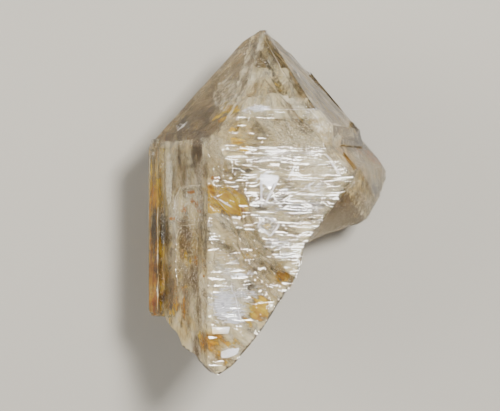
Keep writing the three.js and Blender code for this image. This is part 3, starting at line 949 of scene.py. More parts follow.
def surface_tint(tree):
    """Clear stone, darkened by smoke and painted shade and warmed by iron, each mottled at its own fine
    scale.
    """
    stained = node(tree, "ShaderNodeAttribute", attribute_name="stained").outputs["Fac"]
    smoke_and_shade = node(tree, "ShaderNodeAttribute", attribute_name="smoke_and_shade").outputs["Fac"]
    iron_blotch = between(tree, noise_on(tree, 1400, 4, 0.65), 0.35, 0.65, 0.5, 1.0)
    smoke_and_shade_blotch = noise_on(tree, 1100, 5, 0.7, stretch=(1, 1.4, 1))
    smoke_and_shade_blotch = between(tree, smoke_and_shade_blotch, 0.35, 0.68, 0.25, 1.0)
    iron = colour_ramp(tree, times(tree, stained, iron_blotch), [
        (0.0, (1, 1, 1)), (0.2, (0.86, 0.7, 0.36)),
        (0.5, (0.66, 0.34, 0.05)), (1.0, (0.2, 0.05, 0.003)),
    ])
    smoke_and_shade_colour = colour_ramp(tree, times(tree, smoke_and_shade, smoke_and_shade_blotch), [
        (0.0, (1, 1, 1)), (0.4, (0.6, 0.54, 0.42)), (1.0, (0.13, 0.1, 0.06)),
    ])
    inputs = {"Factor": 1.0, "A": iron, "B": smoke_and_shade_colour}
    both = node(tree, "ShaderNodeMix", inputs, data_type="RGBA", blend_type="MULTIPLY")
    return both.outputs["Result"]


def quartz_glass():
    """Full transmission over absorption; bump height is hairlines * striated + ETCH * etch
    + broken * (GRIT * grit + DENTS * dents)."""
    material, tree, shader = new_material("smoky_quartz")
    striated = node(tree, "ShaderNodeAttribute", attribute_name="striated").outputs["Fac"]
    broken = node(tree, "ShaderNodeAttribute", attribute_name="broken").outputs["Fac"]
    hairlines = noise_on(tree, 300, 4, 0.6, stretch=(0.6, 18, 0.6))
    etch = noise_on(tree, 900, 3, 0.5, stretch=(1, 1.6, 1))
    grit = noise_on(tree, 3500, 4, 0.7)
    height = plus(tree, times(tree, hairlines, striated), times(tree, etch, ETCH))
    dents = noise_on(tree, 1300, 4, 0.6)
    height = plus(tree, height, times(tree, times(tree, grit, broken), GRIT))
    height = plus(tree, height, times(tree, times(tree, dents, broken), DENTS))
    bump = node(tree, "ShaderNodeBump", {"Strength": 1.0, "Distance": BUMP_HEIGHT, "Height": height})
    smudges = between(tree, noise_on(tree, 160, 4), 0.4, 0.7, 0.03, 0.1)
    frost = between(tree, grit, 0.35, 0.65, 0.02, 0.24)
    tree.links.new(surface_tint(tree), shader.inputs["Base Color"])
    shader.inputs["Transmission Weight"].default_value = 1.0
    shader.inputs["IOR"].default_value = QUARTZ_IOR
    tree.links.new(plus(tree, smudges, times(tree, frost, broken)), shader.inputs["Roughness"])
    tree.links.new(bump.outputs[0], shader.inputs["Normal"])
    inputs = {"Color": ABSORBED, "Density": ABSORPTION_DENSITY}
    volume = node(tree, "ShaderNodeVolumeAbsorption", inputs)
    tree.links.new(volume.outputs[0], tree.nodes["Material Output"].inputs["Volume"])
    return material


def dress(piece, material):
    """Gives a piece this one material."""
    piece.data.materials.clear()
    piece.data.materials.append(material)


dress(body, quartz_glass())
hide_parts(NODE)
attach(body, "root")
print("quartz absorbs toward", ABSORBED[:3])

# %% [markdown]
# ## Films, flakes and needles
# What gives this stone its depth is grown in: golden iron films along old growth faces, rust in
# cracks, and veils of tiny flat bubbles and crystals that look white. A film is a wavy grid laid
# under a face, and only the cells inside ragged patches are kept. Everything small is one flat
# eight-sided crystal, drawn out into a flake, a dash or a needle, and strewn thousands of times.

# The brightest white pieces also stand in for glints of the surface: painted highlights.
# %% Films: ragged patches of a wavy sheet
def closed_sheet(top, low, keep):
    """Two layers of quads over the kept cells, with a wall wherever a kept cell's neighbour is
    not kept. Points that no quad uses are dropped."""
    rows, columns = top.shape[:2]
    count = rows * columns
    number = np.arange(count).reshape(rows, columns)
    a, b = number[:-1, :-1][keep], number[:-1, 1:][keep]
    d, c = number[1:, :-1][keep], number[1:, 1:][keep]
    quads = [np.stack([a, b, c, d], 1), np.stack([d, c, b, a], 1) + count]
    padded = np.pad(keep, 1)
    neighbours = [padded[:-2, 1:-1], padded[1:-1, 2:], padded[2:, 1:-1], padded[1:-1, :-2]]
    for first, second, beside in zip((a, b, c, d), (b, c, d, a), neighbours):
        edge = ~beside[keep]
        f, g = first[edge], second[edge]
        quads.append(np.stack([g, f, f + count, g + count], 1))
    quads = np.concatenate(quads)
    used, faces = np.unique(quads, return_inverse=True)
    points = np.concatenate([top.reshape(count, -1), low.reshape(count, -1)])[used]
    return points, faces.reshape(quads.shape)


SHEET_THICKNESS = 0.02
SKIN = 0.01 * MM
stone_tree = BVHTree.FromPolygons(
    [vertex.co for vertex in body.data.vertices],
    [triangle.vertices for triangle in body.data.loop_triangles],
    all_triangles=True,
)


def inside_stone(points):
    """True under the front face's plane, where the nearest point of the surface lies outward of a
    growth-frame point."""
    found = [stone_tree.find_nearest(point)[:2] for point in to_metres(points).reshape(-1, 3)]
    surface, normal = (np.array(column) for column in zip(*found))
    outward = ((surface - to_metres(points).reshape(-1, 3)) * normal).sum(axis=1) > SKIN
    return outward.reshape(points.shape[:-1]) & (points[..., 2] < FRONT)


def patch_field(face, spots, s, t):
    """The highest of 1 - (ds/rs)^2 - (dt/rt)^2 over elliptical spots given as pixels x, y, rx, ry."""
    field = np.full(s.shape, -9.0)
    for ix, iy, rx, ry in spots:
        s0, t0 = seen_on(face, ix, iy)
        rs, rt = seen_on(face, ix + rx, iy)[0] - s0, seen_on(face, ix, iy - ry)[1] - t0
        field = np.maximum(field, 1 - ((s - s0) / rs) ** 2 - ((t - t0) / rt) ** 2)
    return field


def film(face, depth, spots, seed, cell=0.06, ragged=0.7, lace=0.6, fine=2.2, turn=0, stretch=1.0):
    """A sheet depth under a face, kept where the patch field plus ragged noise, less a fine lace
    of pinholes, stays above nil. The noise is drawn out by stretch along the direction turn."""
    corners = [
        seen_on(face, ix + k * rx, iy + j * ry) for ix, iy, rx, ry in spots for k, j in ((-1, 1), (1, -1))
    ]
    low, high = np.min(corners, axis=0) - 0.3, np.max(corners, axis=0) + 0.3
    columns, rows = ((high - low) / cell).astype(int)
    s, t = np.meshgrid(np.linspace(low[0], high[0], columns), np.linspace(low[1], high[1], rows))
    a = np.radians(turn)
    along, across = (s * np.cos(a) + t * np.sin(a)) / stretch, -s * np.sin(a) + t * np.cos(a)
    wave = 0.06 * rough_noise(s / 1.5, t / 1.5, seed, 3)
    edge = ragged * rough_noise(along * fine, across * fine, seed + 5, 4)
    holes = lace * np.abs(rough_noise(along * fine * 3, across * fine * 3, seed + 11, 3))
    field = np.minimum(patch_field(face, spots, s, t) * 1.6, 0.9) + edge - holes
    top, low = (on_face(face, s, t, wave - depth - k) for k in (0, SHEET_THICKNESS))
    keep = (field[:-1, :-1] + field[1:, 1:]) / 2 > 0.1
    keep[keep] = inside_stone(top[:-1, :-1][keep]) & inside_stone(top[1:, 1:][keep])
    return closed_sheet(top, low, keep)


def glint_lens(face, corners, depth, seed, ragged=0.05, lean=0.11):
    """A thin lens inside an outline of pixels: rings shrink from the rim to the middle, and it is
    0.04 mm thick there. lean tilts it so that it mirrors the key light, as a painted glint."""
    corners = np.array(corners, float)
    outline = drawn_outline(np.stack(seen_on(face, corners[:, 0], corners[:, 1]), axis=1), 60, 1)
    middle = outline.mean(axis=0)
    angle = np.linspace(0, LATTICE, 60, endpoint=False)
    uneven = 1 + ragged * rough_noise(angle, 0 * angle, seed, 3)
    outline = middle + (outline - middle) * uneven[:, None]
    rings = []
    for share, out in ((0.02, 0.02), (0.5, 0.02), (0.97, 0.008), (1, 0), (0.97, -0.008), (0.02, -0.02)):
        ring = middle + (outline - middle) * share
        sunk = out - depth - lean * (ring[:, 1] - middle[1])
        rings.append(on_face(face, ring[:, 0], ring[:, 1], sunk))
    return tube_parts(np.array(rings))


# %% [markdown]
# ## Grains and strands
# A grain could be any small shape, but there are thousands, so each has only eight faces: two
# pyramids base to base. One length and one breadth draw it out into a flake, a dash or a needle.
# Longer bright lines are strands: flat ribbons along a line, thinning to their ends.

# %% Grains: flakes, dashes and needles
GRAIN_FACES = np.array([
    [0, 1, 4], [1, 2, 4], [2, 3, 4], [3, 0, 4], [1, 0, 5], [2, 1, 5], [3, 2, 5], [0, 3, 5],
])


def grains(
    face, spots, count, seed,
    depths=(0.08, 0.5), length=(0.06, 0.2), slim=0.5, angle=0, spread=180, tip=(-0.25, 0.25),
):
    """count flat crystals strewn over elliptical spots: each has half axes along, across and
    through, with length drawn from a range, slim times that across, and a random tilt. Those
    that would stick out of the stone are left out."""
    rng = np.random.default_rng(seed)
    spots = np.array(spots, float)
    area = spots[:, 2] * spots[:, 3]
    x, y, rx, ry = spots[rng.choice(len(spots), count, p=area / area.sum())].T
    turn, far = rng.uniform(0, 2 * np.pi, count), rng.uniform(0, 1, count) ** 0.6
    s, t = seen_on(face, x + far * rx * np.cos(turn), y + far * ry * np.sin(turn))
    middle = on_face(face, s, t, -rng.uniform(*depths, count))
    normal, level, upward = face_axes(*face[:2])
    a = np.radians(angle + rng.uniform(-spread, spread, count))[:, None]
    size = rng.uniform(length[0] ** 0.5, length[1] ** 0.5, count)[:, None] ** 2 / 2
    tilt = rng.uniform(*tip, count)[:, None]
    along = (np.cos(a) * level + np.sin(a) * upward) * size
    across = (-np.sin(a) * level + np.cos(a) * upward + tilt * normal) * size * slim
    through = normal * np.minimum(size * slim, 0.05) * 0.4
    axes = (along, across, -along, -across, through, -through)
    points = np.stack([middle + axis for axis in axes], axis=1)[inside_stone(middle)]
    faces = (GRAIN_FACES + 6 * np.arange(len(points))[:, None, None]).reshape(-1, 3)
    return points.reshape(-1, 3), faces


# %% Strands
def strand(face, pixels, depth, width, seed, wander=0.05, lean=0.12):
    """A flat ribbon along a line of pixels on a face, thinning to its ends. Its ridge is lean times
    its half width high, so that its sides face the light."""
    pixels = np.array(pixels, float)
    line, along = along_line(np.stack(seen_on(face, pixels[:, 0], pixels[:, 1]), axis=1), 60)
    line += wander * np.stack([rough_noise(along * 1.5, 0 * along + k, seed, 3) for k in (0, 9)], axis=1)
    share = np.linspace(0, 1, 60)
    half = width / 2 * (0.15 + 0.85 * np.sin(np.pi * share) ** 0.5)
    half *= 1 + 0.5 * rough_noise(along * 3, along * 0, seed + 3, 2)
    way = np.gradient(line, axis=0)
    side = np.stack([-way[:, 1], way[:, 0]], axis=1) / np.linalg.norm(way, axis=1, keepdims=True)
    inside = inside_stone(on_face(face, line[:, 0], line[:, 1], -depth))
    rings = []
    for across, out in ((1, 0), (0, lean), (-1, 0), (0, -lean)):
        edge = line + side * (across * half)[:, None]
        rings.append(on_face(face, edge[:, 0], edge[:, 1], out * half - depth)[inside])
    return tube_parts(np.stack(rings, axis=1))


# %% [markdown]
# ## From loose parts to one piece
# Films, grains and strands of one mineral become one piece, which keeps the list of objects short.
# They carry nothing of their own but an opaque, mottled mineral, so one material serves each piece.

# %% Gather parts and give them their mineral
TINY_GAP = 0.0001 * MM


def gathered(parts):
    """Lays point and face lists end to end: a part's faces count on from the points before it."""
    points, faces, start = [], [], 0
    for part_points, part_faces in parts:
        points.append(part_points)
        loops = part_faces.tolist() if isinstance(part_faces, np.ndarray) else part_faces
        faces.extend([[corner + start for corner in loop] for loop in loops])
        start += len(part_points)
    return np.concatenate(points), faces


def settle(piece, material):
    """Dresses a piece that lies inside the quartz, lets it ride there, and counts its triangles."""
    dress(piece, material)
    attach(piece, "root")
    piece.data.calc_loop_triangles()
    print(piece.name, len(piece.data.loop_triangles), "triangles")


def inclusion(name, parts, material):
    """Many parts as one piece inside the quartz."""
    points, faces = gathered(parts)
    piece = mesh_object(name, to_metres(points), faces)
    merge_doubles(piece, TINY_GAP)
    settle(piece, material)


def mineral(name, colours, scale, roughness, metallic=0.0):
    """An opaque mineral: noise picks along a ramp of colours, and roughens and pits the surface."""
    material, tree, shader = new_material(name)
    shader.inputs["Metallic"].default_value = metallic
    mottle = noise_on(tree, scale, 5, 0.65)
    stops = [(k / (len(colours) - 1), colour) for k, colour in enumerate(colours)]
    tint = colour_ramp(tree, between(tree, mottle, 0.3, 0.7, 0.0, 1.0), stops)
    dullness = between(tree, mottle, 0.3, 0.7, roughness + 0.15, roughness)
    tree.links.new(tint, shader.inputs["Base Color"])
    tree.links.new(dullness, shader.inputs["Roughness"])
    bump = node(tree, "ShaderNodeBump", {"Strength": 0.4, "Distance": 0.01 * MM, "Height": mottle})
    tree.links.new(bump.outputs[0], shader.inputs["Normal"])
    return material


# %% [markdown]
# ## Golden films and rust
# Iron left its colour along old growth faces: a bright golden film beside the plates, a gold cloud
# under the steep band, small rust flecks beside the left window, and brown rust down the column.

# %% Golden films
# Spots are ellipses in the photograph's pixels: x, y and the two half axes.
gold = mineral("golden_iron_film", [(0.34, 0.18, 0.0), (0.56, 0.37, 0.004), (0.72, 0.55, 0.03)], 2500, 0.35)
MAIN_FILM = [(222, 195, 22, 9), (238, 206, 12, 10), (209, 190, 9, 6), (214, 208, 12, 6), (243, 196, 7, 10)]
gold_parts = [
    film(LOW_FIELD, 0.2, MAIN_FILM, 11, cell=0.05, turn=-40, stretch=2.5, ragged=0.8, lace=0.8),
    film(LOW_FIELD, 0.4, [(285, 277, 4, 4), (280, 272, 4, 2)], 21, cell=0.05, lace=0.6),
    film(STEEP_FACE, 0.2, [(237, 141, 9, 4), (246, 148, 7, 3), (231, 129, 5, 3)], 41, turn=-30,
         stretch=2, lace=1.1),
    film(COLUMN_FACE, 0.15, [(155, 185, 3, 4), (158, 205, 3, 5)], 71, turn=90, stretch=2, lace=1.1),
    grains(LOW_FIELD, [(225, 200, 25, 14), (262, 300, 16, 14)], 900, 81, length=(0.03, 0.12)),
    grains(STEEP_FACE, [(240, 135, 14, 14)], 500, 82, length=(0.03, 0.12), angle=-20, spread=40),
    grains(FRONT_FACE, [(267, 226, 4, 3)], 60, 83, depths=(0.36, 0.5), length=(0.1, 0.3)),
    grains(LOBE_SLOPE, [(352, 160, 18, 18)], 400, 84, depths=(0.7, 1.4), length=(0.03, 0.12)),
]
inclusion("golden_iron_films", gold_parts, gold)

# %% Rust flecks
rust = mineral("rust", [(0.12, 0.032, 0.0), (0.34, 0.12, 0.0), (0.46, 0.2, 0.004)], 3000, 0.5)
FLECKS = [
    (187, 192, 4, 1.6), (189, 201, 2, 3.2), (193, 205, 2, 3.4), (180, 209, 3, 4),
    (195, 213, 2, 4.4), (169, 219, 2, 1.6), (213, 178, 4, 2), (201, 276, 1.6, 1.6),
]
rust_parts = [
    film(LEFT_FACE, 0.62, FLECKS, 91, cell=0.04, ragged=1.3, lace=1.0, fine=5, turn=-60, stretch=2),
    film(COLUMN_FACE, 0.15, [(163, 246, 4, 9), (166, 257, 3, 5), (165, 289, 5, 6), (155, 300, 4, 12)], 92,
         cell=0.04, turn=60, stretch=2, fine=5, ragged=1.3, lace=1.2),
    film(LOBE_SLOPE, 0.7, [(366, 152, 9, 4), (378, 160, 6, 4), (357, 146, 5, 3)], 93,
         cell=0.05, turn=-50, stretch=5, fine=5, ragged=1.0, lace=1.7),
    grains(LOW_FIELD, [(210, 342, 7, 9), (222, 360, 10, 7), (209, 188, 7, 3)], 500, 94,
           length=(0.03, 0.12)),
    grains(LOBE_SLOPE, [(366, 152, 13, 7)], 500, 95, depths=(0.6, 1.0), length=(0.04, 0.2), slim=0.3,
           angle=-45, spread=25),
    grains(TIP_RIGHT, [(320, 95, 8, 18)], 160, 96, length=(0.04, 0.12)),
    grains(COLUMN_FACE, [(152, 270, 3, 42), (164, 280, 6, 22)], 500, 97, length=(0.04, 0.2), angle=90,
           spread=20),
    grains(LEFT_FACE, [(176, 300, 12, 16)], 160, 98, length=(0.04, 0.14)),
]
inclusion("rust_flecks", rust_parts, rust)

# %% [markdown]
# ## White veils, cracks, dashes and painted glints
# Healed cracks are mirrors of trapped air, so they are bright where they face the light and dark
# where they don't: their finish is mostly a bright metal. Most pieces here are painted highlights as
# well: along the shoulder and the steep band's top edge, on the striations, on the etched figures
# and in a small flat facet of the low field they stand in for glints of the surface, leaned toward
# the key light. Long dashes follow the striations; the haze in the lobe and the steep band is
# thousands of tiny cream grains.

# %% Veils, dashes and bright lines
MIRROR_AND_GLINT_WHITES = [(0.9, 0.88, 0.92), (0.96, 0.95, 1.0), (1.0, 1.0, 1.0)]
white = mineral("mirror_veil_and_glint", MIRROR_AND_GLINT_WHITES, 1500, 0.25, metallic=0.75)
# Dashes leaned toward the key light: painted glints on the striations.
GLINT_DASHES = dict(slim=0.07, angle=0, spread=3, depths=(0.08, 0.3), tip=(-0.2, -0.02))
DIAMOND_TIPS = [(258, 226), (266, 216), (280, 225), (271, 236)]
DIAMOND_SIDES = list(zip(DIAMOND_TIPS, DIAMOND_TIPS[1:] + DIAMOND_TIPS[:1]))
V_FIGURE = [(261, 174), (279, 175.5), (278.5, 180), (274, 184), (270, 190), (265, 184), (261.5, 184)]
mirror_and_glint_parts = [
    grains(FRONT_FACE, [(264, 158, 20, 2), (287, 153, 36, 1.6)], 60, 201, length=(0.3, 1.5), **GLINT_DASHES),
    grains(FRONT_FACE, [(290, 200, 42, 13), (300, 190, 28, 8)], 130, 202, length=(0.2, 1.3), **GLINT_DASHES),
    grains(FRONT_FACE, [(276, 244, 14, 5), (284, 256, 12, 5)], 70, 203, length=(0.2, 1.4), **GLINT_DASHES),
    grains(LOW_FIELD, [(222, 304, 9, 13), (234, 312, 8, 8)], 110, 204, length=(0.2, 1.2), **GLINT_DASHES),
    grains(LOW_FIELD, [(256, 294, 20, 13), (228, 256, 12, 22)], 110, 205, length=(0.1, 0.9), **GLINT_DASHES),
    grains(STEEP_FACE, [(256, 109, 14, 0.8), (292, 109, 22, 0.4)], 60, 206, length=(0.2, 1.2), **GLINT_DASHES),
    grains(STEEP_FACE, [(259, 108, 6, 4), (246, 110, 3, 1.4), (238, 118, 1.6, 1.6)], 160, 207,
           length=(0.06, 0.35)),
    grains(TIP_FRONT, [(256, 50, 3, 2), (254, 57, 3, 1.6), (268, 46, 2, 2), (262, 62, 8, 6)], 60, 208,
           length=(0.06, 0.25)),
    strand(TIP_LEFT, [(177, 130), (181, 127), (187, 121)], 0.1, 0.35, 209, wander=0.08),
    grains(TIP_LEFT, [(182, 126, 7, 3)], 30, 209, length=(0.1, 0.4), slim=0.2, angle=45, spread=12),
    grains(TIP_LEFT, [(215, 100, 1, 1), (221, 98, 1, 1), (209, 110, 1, 1), (224, 74, 10, 12)], 40, 219,
           length=(0.06, 0.18)),
    glint_lens(FRONT_FACE, V_FIGURE, 0.26, 210, 0.03),
    strand(FRONT_FACE, [(261, 174), (262, 190), (261.5, 207)], 0.26, 0.24, 211, wander=0.02),
    strand(FRONT_FACE, [(279, 178), (272, 192), (265, 205)], 0.26, 0.24, 212, wander=0.03),
    strand(FRONT_FACE, [(256, 181), (268, 172), (276, 171)], 0.26, 0.18, 231, wander=0.03),
    strand(FRONT_FACE, [(299, 160), (293, 170), (287, 182)], 0.15, 0.12, 213),
    *(strand(FRONT_FACE, side, 0.4, 0.24, 240 + k, wander=0.03) for k, side in enumerate(DIAMOND_SIDES)),
    grains(FRONT_FACE, [(262, 221, 4, 3), (272, 219, 5, 2), (276, 229, 3, 3)], 50, 245,
           depths=(0.36, 0.45), length=(0.06, 0.3)),
    strand(FRONT_FACE, [(325, 153), (334, 166), (344, 180)], 0.05, 0.18, 222),
    strand(LOW_FIELD, [(214, 197), (222, 201), (231, 207)], 0.1, 0.16, 214),
    strand(LOW_FIELD, [(231, 285), (236, 300), (242, 322)], 0.15, 0.12, 215),
    glint_lens(LOW_FIELD, [(212, 327), (230.5, 327), (228, 334), (212.5, 334)], 0.12, 216, 0.02),
    glint_lens(LOW_FIELD, [(221, 352), (232, 348), (240, 348), (237, 354), (228, 358), (221, 358)],
              0.15, 217),
    film(LOW_FIELD, 0.15, [(209, 225, 5, 2.4), (238, 276, 8, 3), (252, 273, 5, 2.4)], 218, cell=0.05,
         fine=4, lace=1.4),
    film(FRONT_FACE, 0.12, [(315, 187, 10, 5)], 223, cell=0.05, fine=3.5, lace=1.7, ragged=0.6),
]
inclusion("mirror_veils_and_glints", mirror_and_glint_parts, white)

# %% Cream haze and painted edge glints
cream = mineral("cream_haze_and_edge_glints", [(0.8, 0.72, 0.52), (0.92, 0.87, 0.72), (0.97, 0.95, 0.88)], 1500, 0.4)
# Cream strands along the point's right-hand ridge and the steep band's right edge: painted highlight where
# the edge catches the light.
EDGE_GLINT_LINE = [(266, 40), (283, 72), (295, 85), (308, 108), (318, 118), (322, 130), (323, 150)]
cream_haze_and_edge_glint_parts = [
    grains(LOBE_SLOPE, [(340, 145, 14, 24), (354, 168, 16, 12)], 3600, 301, depths=(0.7, 2.0),
           length=(0.05, 0.24)),
    grains(STEEP_FACE, [(300, 132, 24, 18)], 2600, 302, depths=(0.1, 2.5), length=(0.04, 0.2)),
    grains(FRONT_FACE, [(316, 168, 12, 10)], 900, 303, depths=(0.1, 1.0), length=(0.04, 0.2)),
    grains(TIP_LEFT, [(225, 95, 12, 16)], 700, 304, length=(0.05, 0.6), slim=0.15, angle=60, spread=8),
    grains(LEFT_FACE, [(168, 178, 3, 26)], 900, 305, length=(0.05, 0.3), angle=90, spread=20),
    grains(TIP_FRONT, [(268, 75, 20, 32)], 1600, 306, depths=(0.2, 3.0), length=(0.03, 0.16)),
    grains(LOBE_END, [(372, 190, 16, 16)], 1200, 307, depths=(0.3, 1.6), length=(0.05, 0.24)),
    strand(LEFT_FACE, [(173, 221), (172.5, 198), (177, 189), (186, 186), (198, 186)], 0.58, 0.1, 309,
           wander=0.03),
    strand(LEFT_FACE, [(175, 284), (175, 234), (179, 226), (196, 224)], 0.45, 0.08, 310, wander=0.03),
    strand(TIP_FRONT, EDGE_GLINT_LINE[:3], 0.06, 0.05, 311),
    strand(STEEP_FACE, EDGE_GLINT_LINE[3:6], 0.06, 0.07, 312),
    strand(LOBE_SLOPE, [(350, 130), (357, 146), (361, 160)], 0.75, 0.16, 321, wander=0.04),
    strand(LOBE_SLOPE, [(341, 134), (346, 146), (349, 162)], 0.75, 0.12, 322, wander=0.05),
    film(LOBE_SLOPE, 0.85, [(337, 140, 6, 12), (342, 158, 7, 7)], 323, cell=0.06, fine=3, lace=1.5,
         turn=100, stretch=3),
    film(LOBE_END, 0.4, [(352, 206, 9, 5), (362, 196, 6, 4)], 324, cell=0.06, fine=3, lace=1.6, turn=110,
         stretch=3),
    *(
        strand(COLUMN_FACE, [(158, top), (157.3, top + 18), (157.6, top + 36)], 0.05, 0.2, 314 + top,
               wander=0.04)
        for top in (206, 238, 274)
    ),
]
inclusion("cream_haze_and_edge_glints", cream_haze_and_edge_glint_parts, cream)

# %% [markdown]
# ## Dark grains
# Black and brown grains darken the stone: in rows down the left column, in a smudge under the
# steep band and at the back of the lobe. The rows down the column are painted shade, where the
# stone mirrors dark surroundings.

# %% Dark grains
dark = mineral("dark_grains_and_shade", [(0.02, 0.017, 0.013), (0.06, 0.045, 0.03), (0.16, 0.11, 0.06)], 3000, 0.4)
dark_grain_and_shade_parts = [
    # Rows down the column: painted shade where the stone mirrors dark surroundings.
    grains(COLUMN_FACE, [(154.5, 234, 1.6, 27), (162.5, 227, 2.4, 19)], 700, 401, length=(0.05, 0.3),
           angle=90, spread=35),
    grains(COLUMN_FACE, [(163, 296, 4, 3), (167, 301, 3, 3), (169, 307, 3, 3)], 170, 402,
           length=(0.08, 0.5), slim=0.3, angle=-60, spread=25),
    strand(LOBE_SLOPE, [(347, 128), (353, 135), (361, 146)], 0.7, 0.7, 411, wander=0.12),
    film(LOBE_SLOPE, 0.7, [(354, 137, 5, 8)], 412, cell=0.05, fine=4, turn=-50, stretch=5, lace=1.3,
         ragged=1.0),
    strand(LOBE_END, [(371, 184), (375, 189), (373, 195)], 0.3, 0.2, 413, wander=0.15),
    grains(STEEP_FACE, [(261, 135, 11, 15)], 260, 403, length=(0.08, 0.7), slim=0.12, angle=0, spread=6),
    grains(FRONT_FACE, [(250, 153, 6, 3), (238, 173, 12, 12), (248, 172, 2, 4)], 300, 404,
           length=(0.04, 0.3), slim=0.3),
    grains(TIP_LEFT, [(185, 125, 8, 6), (200, 137, 11, 9)], 420, 405, length=(0.06, 0.4), angle=40,
           spread=15, slim=0.3),
    grains(TIP_FRONT, [(258, 69, 4, 3)], 60, 406, length=(0.06, 0.25)),
    grains(LOBE_SLOPE, [(354, 136, 8, 9)], 420, 407, depths=(0.6, 0.9), length=(0.06, 0.4), angle=-50,
           spread=15, slim=0.3),
    grains(LEFT_FACE, [(205, 238, 4, 22)], 260, 408, length=(0.06, 0.4), angle=90, spread=15, slim=0.25),
    grains(FRONT_FACE, [(288, 202, 42, 14)], 260, 409, length=(0.2, 1.2), slim=0.05, angle=0, spread=4),
    grains(LOBE_END, [(375, 189, 4, 5)], 50, 410, length=(0.08, 0.4), slim=0.2),
]
inclusion("dark_grains_and_shade", dark_grain_and_shade_parts, dark)

# %% [markdown]
# ## Wispy veils
# Healed cracks in quartz are sheets of bubbles too small to see one by one. Together they look like
# smoke, milk, rust or silver hair, thicker in some places and gone in others. Each sheet here is a
# gently bent grid under a face, and every point of it carries how dense the veil is there. The
# material turns that into wisps: a streaky noise is cut off at a level that falls as the density
# rises, so a thin veil breaks up into specks and a dense one closes. The stone itself trims every
# sheet, by a boolean with a copy of the body.

# Some sheets are painted light as well: the silver hair stands in for glints of the surface, and the smoke
# on the lobe and the left column for shade.
# %% Bent sheets that carry their own density
BACK_RIGHT = (120, PRISM, MAIN_BACK_RIGHT)
LOBE_BACK = (120, PRISM, LOBE_BACK_RIGHT)
BACK_LEFT = (240, PRISM, SIDE)
ALONG_AXIS = (90, PRISM, 0)
BACK_POINTS = [(turn, POINT, POINT_FACES[turn]) for turn in (120, 180, 240)]

# How far a veil goes on each face, in millimetres: left, low, right, high.
REACHES = {
    FRONT_FACE: (-9, -28.5, 13, 4),
    LOW_FIELD: (-9, -28.5, 13, 4),
    LEFT_FACE: (-9, -27, 9, 4),
    COLUMN_FACE: (-9, -27, 9, 4),
    STEEP_FACE: (-9, 0, 9, 8),
    TIP_FRONT: (-9, 0, 9, 16),
    TIP_LEFT: (-9, -4, 9, 14),
    TIP_RIGHT: (-9, -2, 9, 16),
    LOBE_SLOPE: (-9, -4, 12, 12),
    LOBE_END: (-4, -14, 14, 4),
    BACK_RIGHT: (-9, -28, 9, 3),
    LOBE_BACK: (-9, -14, 9, 3),
    BACK_LEFT: (-9, -28, 9, 3),
    ALONG_AXIS: (3, -27, 10, 10),
    **{face: (-10, -4, 10, 16) for face in BACK_POINTS},
}


def veil_sheet(face, depth, base, patches, turn=0, fine=0.8, stretch=2.5, bend=0.2, cell=0.35):
    """Points of a sheet depth under a face over its reach: x, y, z, the density
    base + sum of strength * exp(-far^2) over elliptical patches in pixels, and the coordinates
    of its grain along and across the direction turn."""
    left, low, right, high = REACHES[face]
    s, t = np.meshgrid(np.arange(left, right, cell), np.arange(low, high, cell))
    wave = bend * rough_noise(s / 4 + depth, t / 4, 17, 2)
    ix, iy = pixel_of(on_face(face, s, t, wave - depth))
    density = np.full(s.shape, float(base))
    for x, y, rx, ry, strength in patches:
        density += strength * np.exp(-(((ix - x) / rx) ** 2) - ((iy - y) / ry) ** 2)
    a = np.radians(turn)
    along, across = s * np.cos(a) + t * np.sin(a), t * np.cos(a) - s * np.sin(a)
    grain = np.stack([along * fine / stretch, across * fine, 0 * s + 9 * depth + face[0]], axis=-1)
    carried = np.concatenate([np.clip(density, 0, 1)[..., None], grain], axis=-1)
    keep = density[:-1, :-1] > 0.02
    top, low = (
        np.concatenate([on_face(face, s, t, wave - depth - k), carried], axis=-1)
        for k in (0, SHEET_THICKNESS)
    )
    return closed_sheet(top, low, keep)


def veils(name, sheets, material):
    """Joins sheets into one piece, trims it to the stone, and gives it its veil material."""
    points, faces = gathered(sheets)
    piece = mesh_object(name, to_metres(points[:, :3]), faces)
    set_attribute(piece, "veil_density", points[:, 3])
    set_attribute(piece, "grain", points[:, 4:])
    stone = bpy.data.objects.new("stone", body.data.copy())
    bpy.context.collection.objects.link(stone)
    combine(piece, stone, "INTERSECT")
    for unused in ("striated", "broken", "stained", "smoke_and_shade"):
        piece.data.attributes.remove(piece.data.attributes[unused])
    piece.data.polygons.foreach_set("use_smooth", np.ones(len(piece.data.polygons), bool))
    settle(piece, material)


def veil_material(name, colours, thickest, soft=0.5, metallic=0.0, roughness=0.6, relief=0.0):
    """Alpha is (noise - edge) / soft, at most thickest; the edge falls from 1 to -0.2 as the
    density rises. A second, coarser noise picks the colour."""
    material, tree, shader = new_material(name)
    density = node(tree, "ShaderNodeAttribute", attribute_name="veil_density").outputs["Fac"]
    grain = node(tree, "ShaderNodeAttribute", attribute_name="grain").outputs["Vector"]
    inputs = {"Vector": grain, "Scale": 1.0, "Detail": 7.0, "Roughness": 0.68}
    wisps = between(tree, node(tree, "ShaderNodeTexNoise", inputs).outputs["Fac"], 0.34, 0.66, 0.0, 1.0)
    hue = node(tree, "ShaderNodeTexNoise", {**inputs, "Scale": 0.6, "Detail": 3.0}).outputs["Fac"]
    edge = between(tree, density, 0.0, 1.0, 1.0, -0.2)
    alpha = between(tree, wisps, edge, plus(tree, edge, soft), 0.0, thickest)
    stops = [(0.3 + 0.4 * k / (len(colours) - 1), colour) for k, colour in enumerate(colours)]
    tree.links.new(colour_ramp(tree, hue, stops), shader.inputs["Base Color"])
    tree.links.new(alpha, shader.inputs["Alpha"])
    shader.inputs["Metallic"].default_value = metallic
    shader.inputs["Roughness"].default_value = roughness
    if relief:
        inputs = {"Strength": 1.0, "Distance": relief * MM, "Height": wisps}
        tree.links.new(node(tree, "ShaderNodeBump", inputs).outputs[0], shader.inputs["Normal"])
    return material


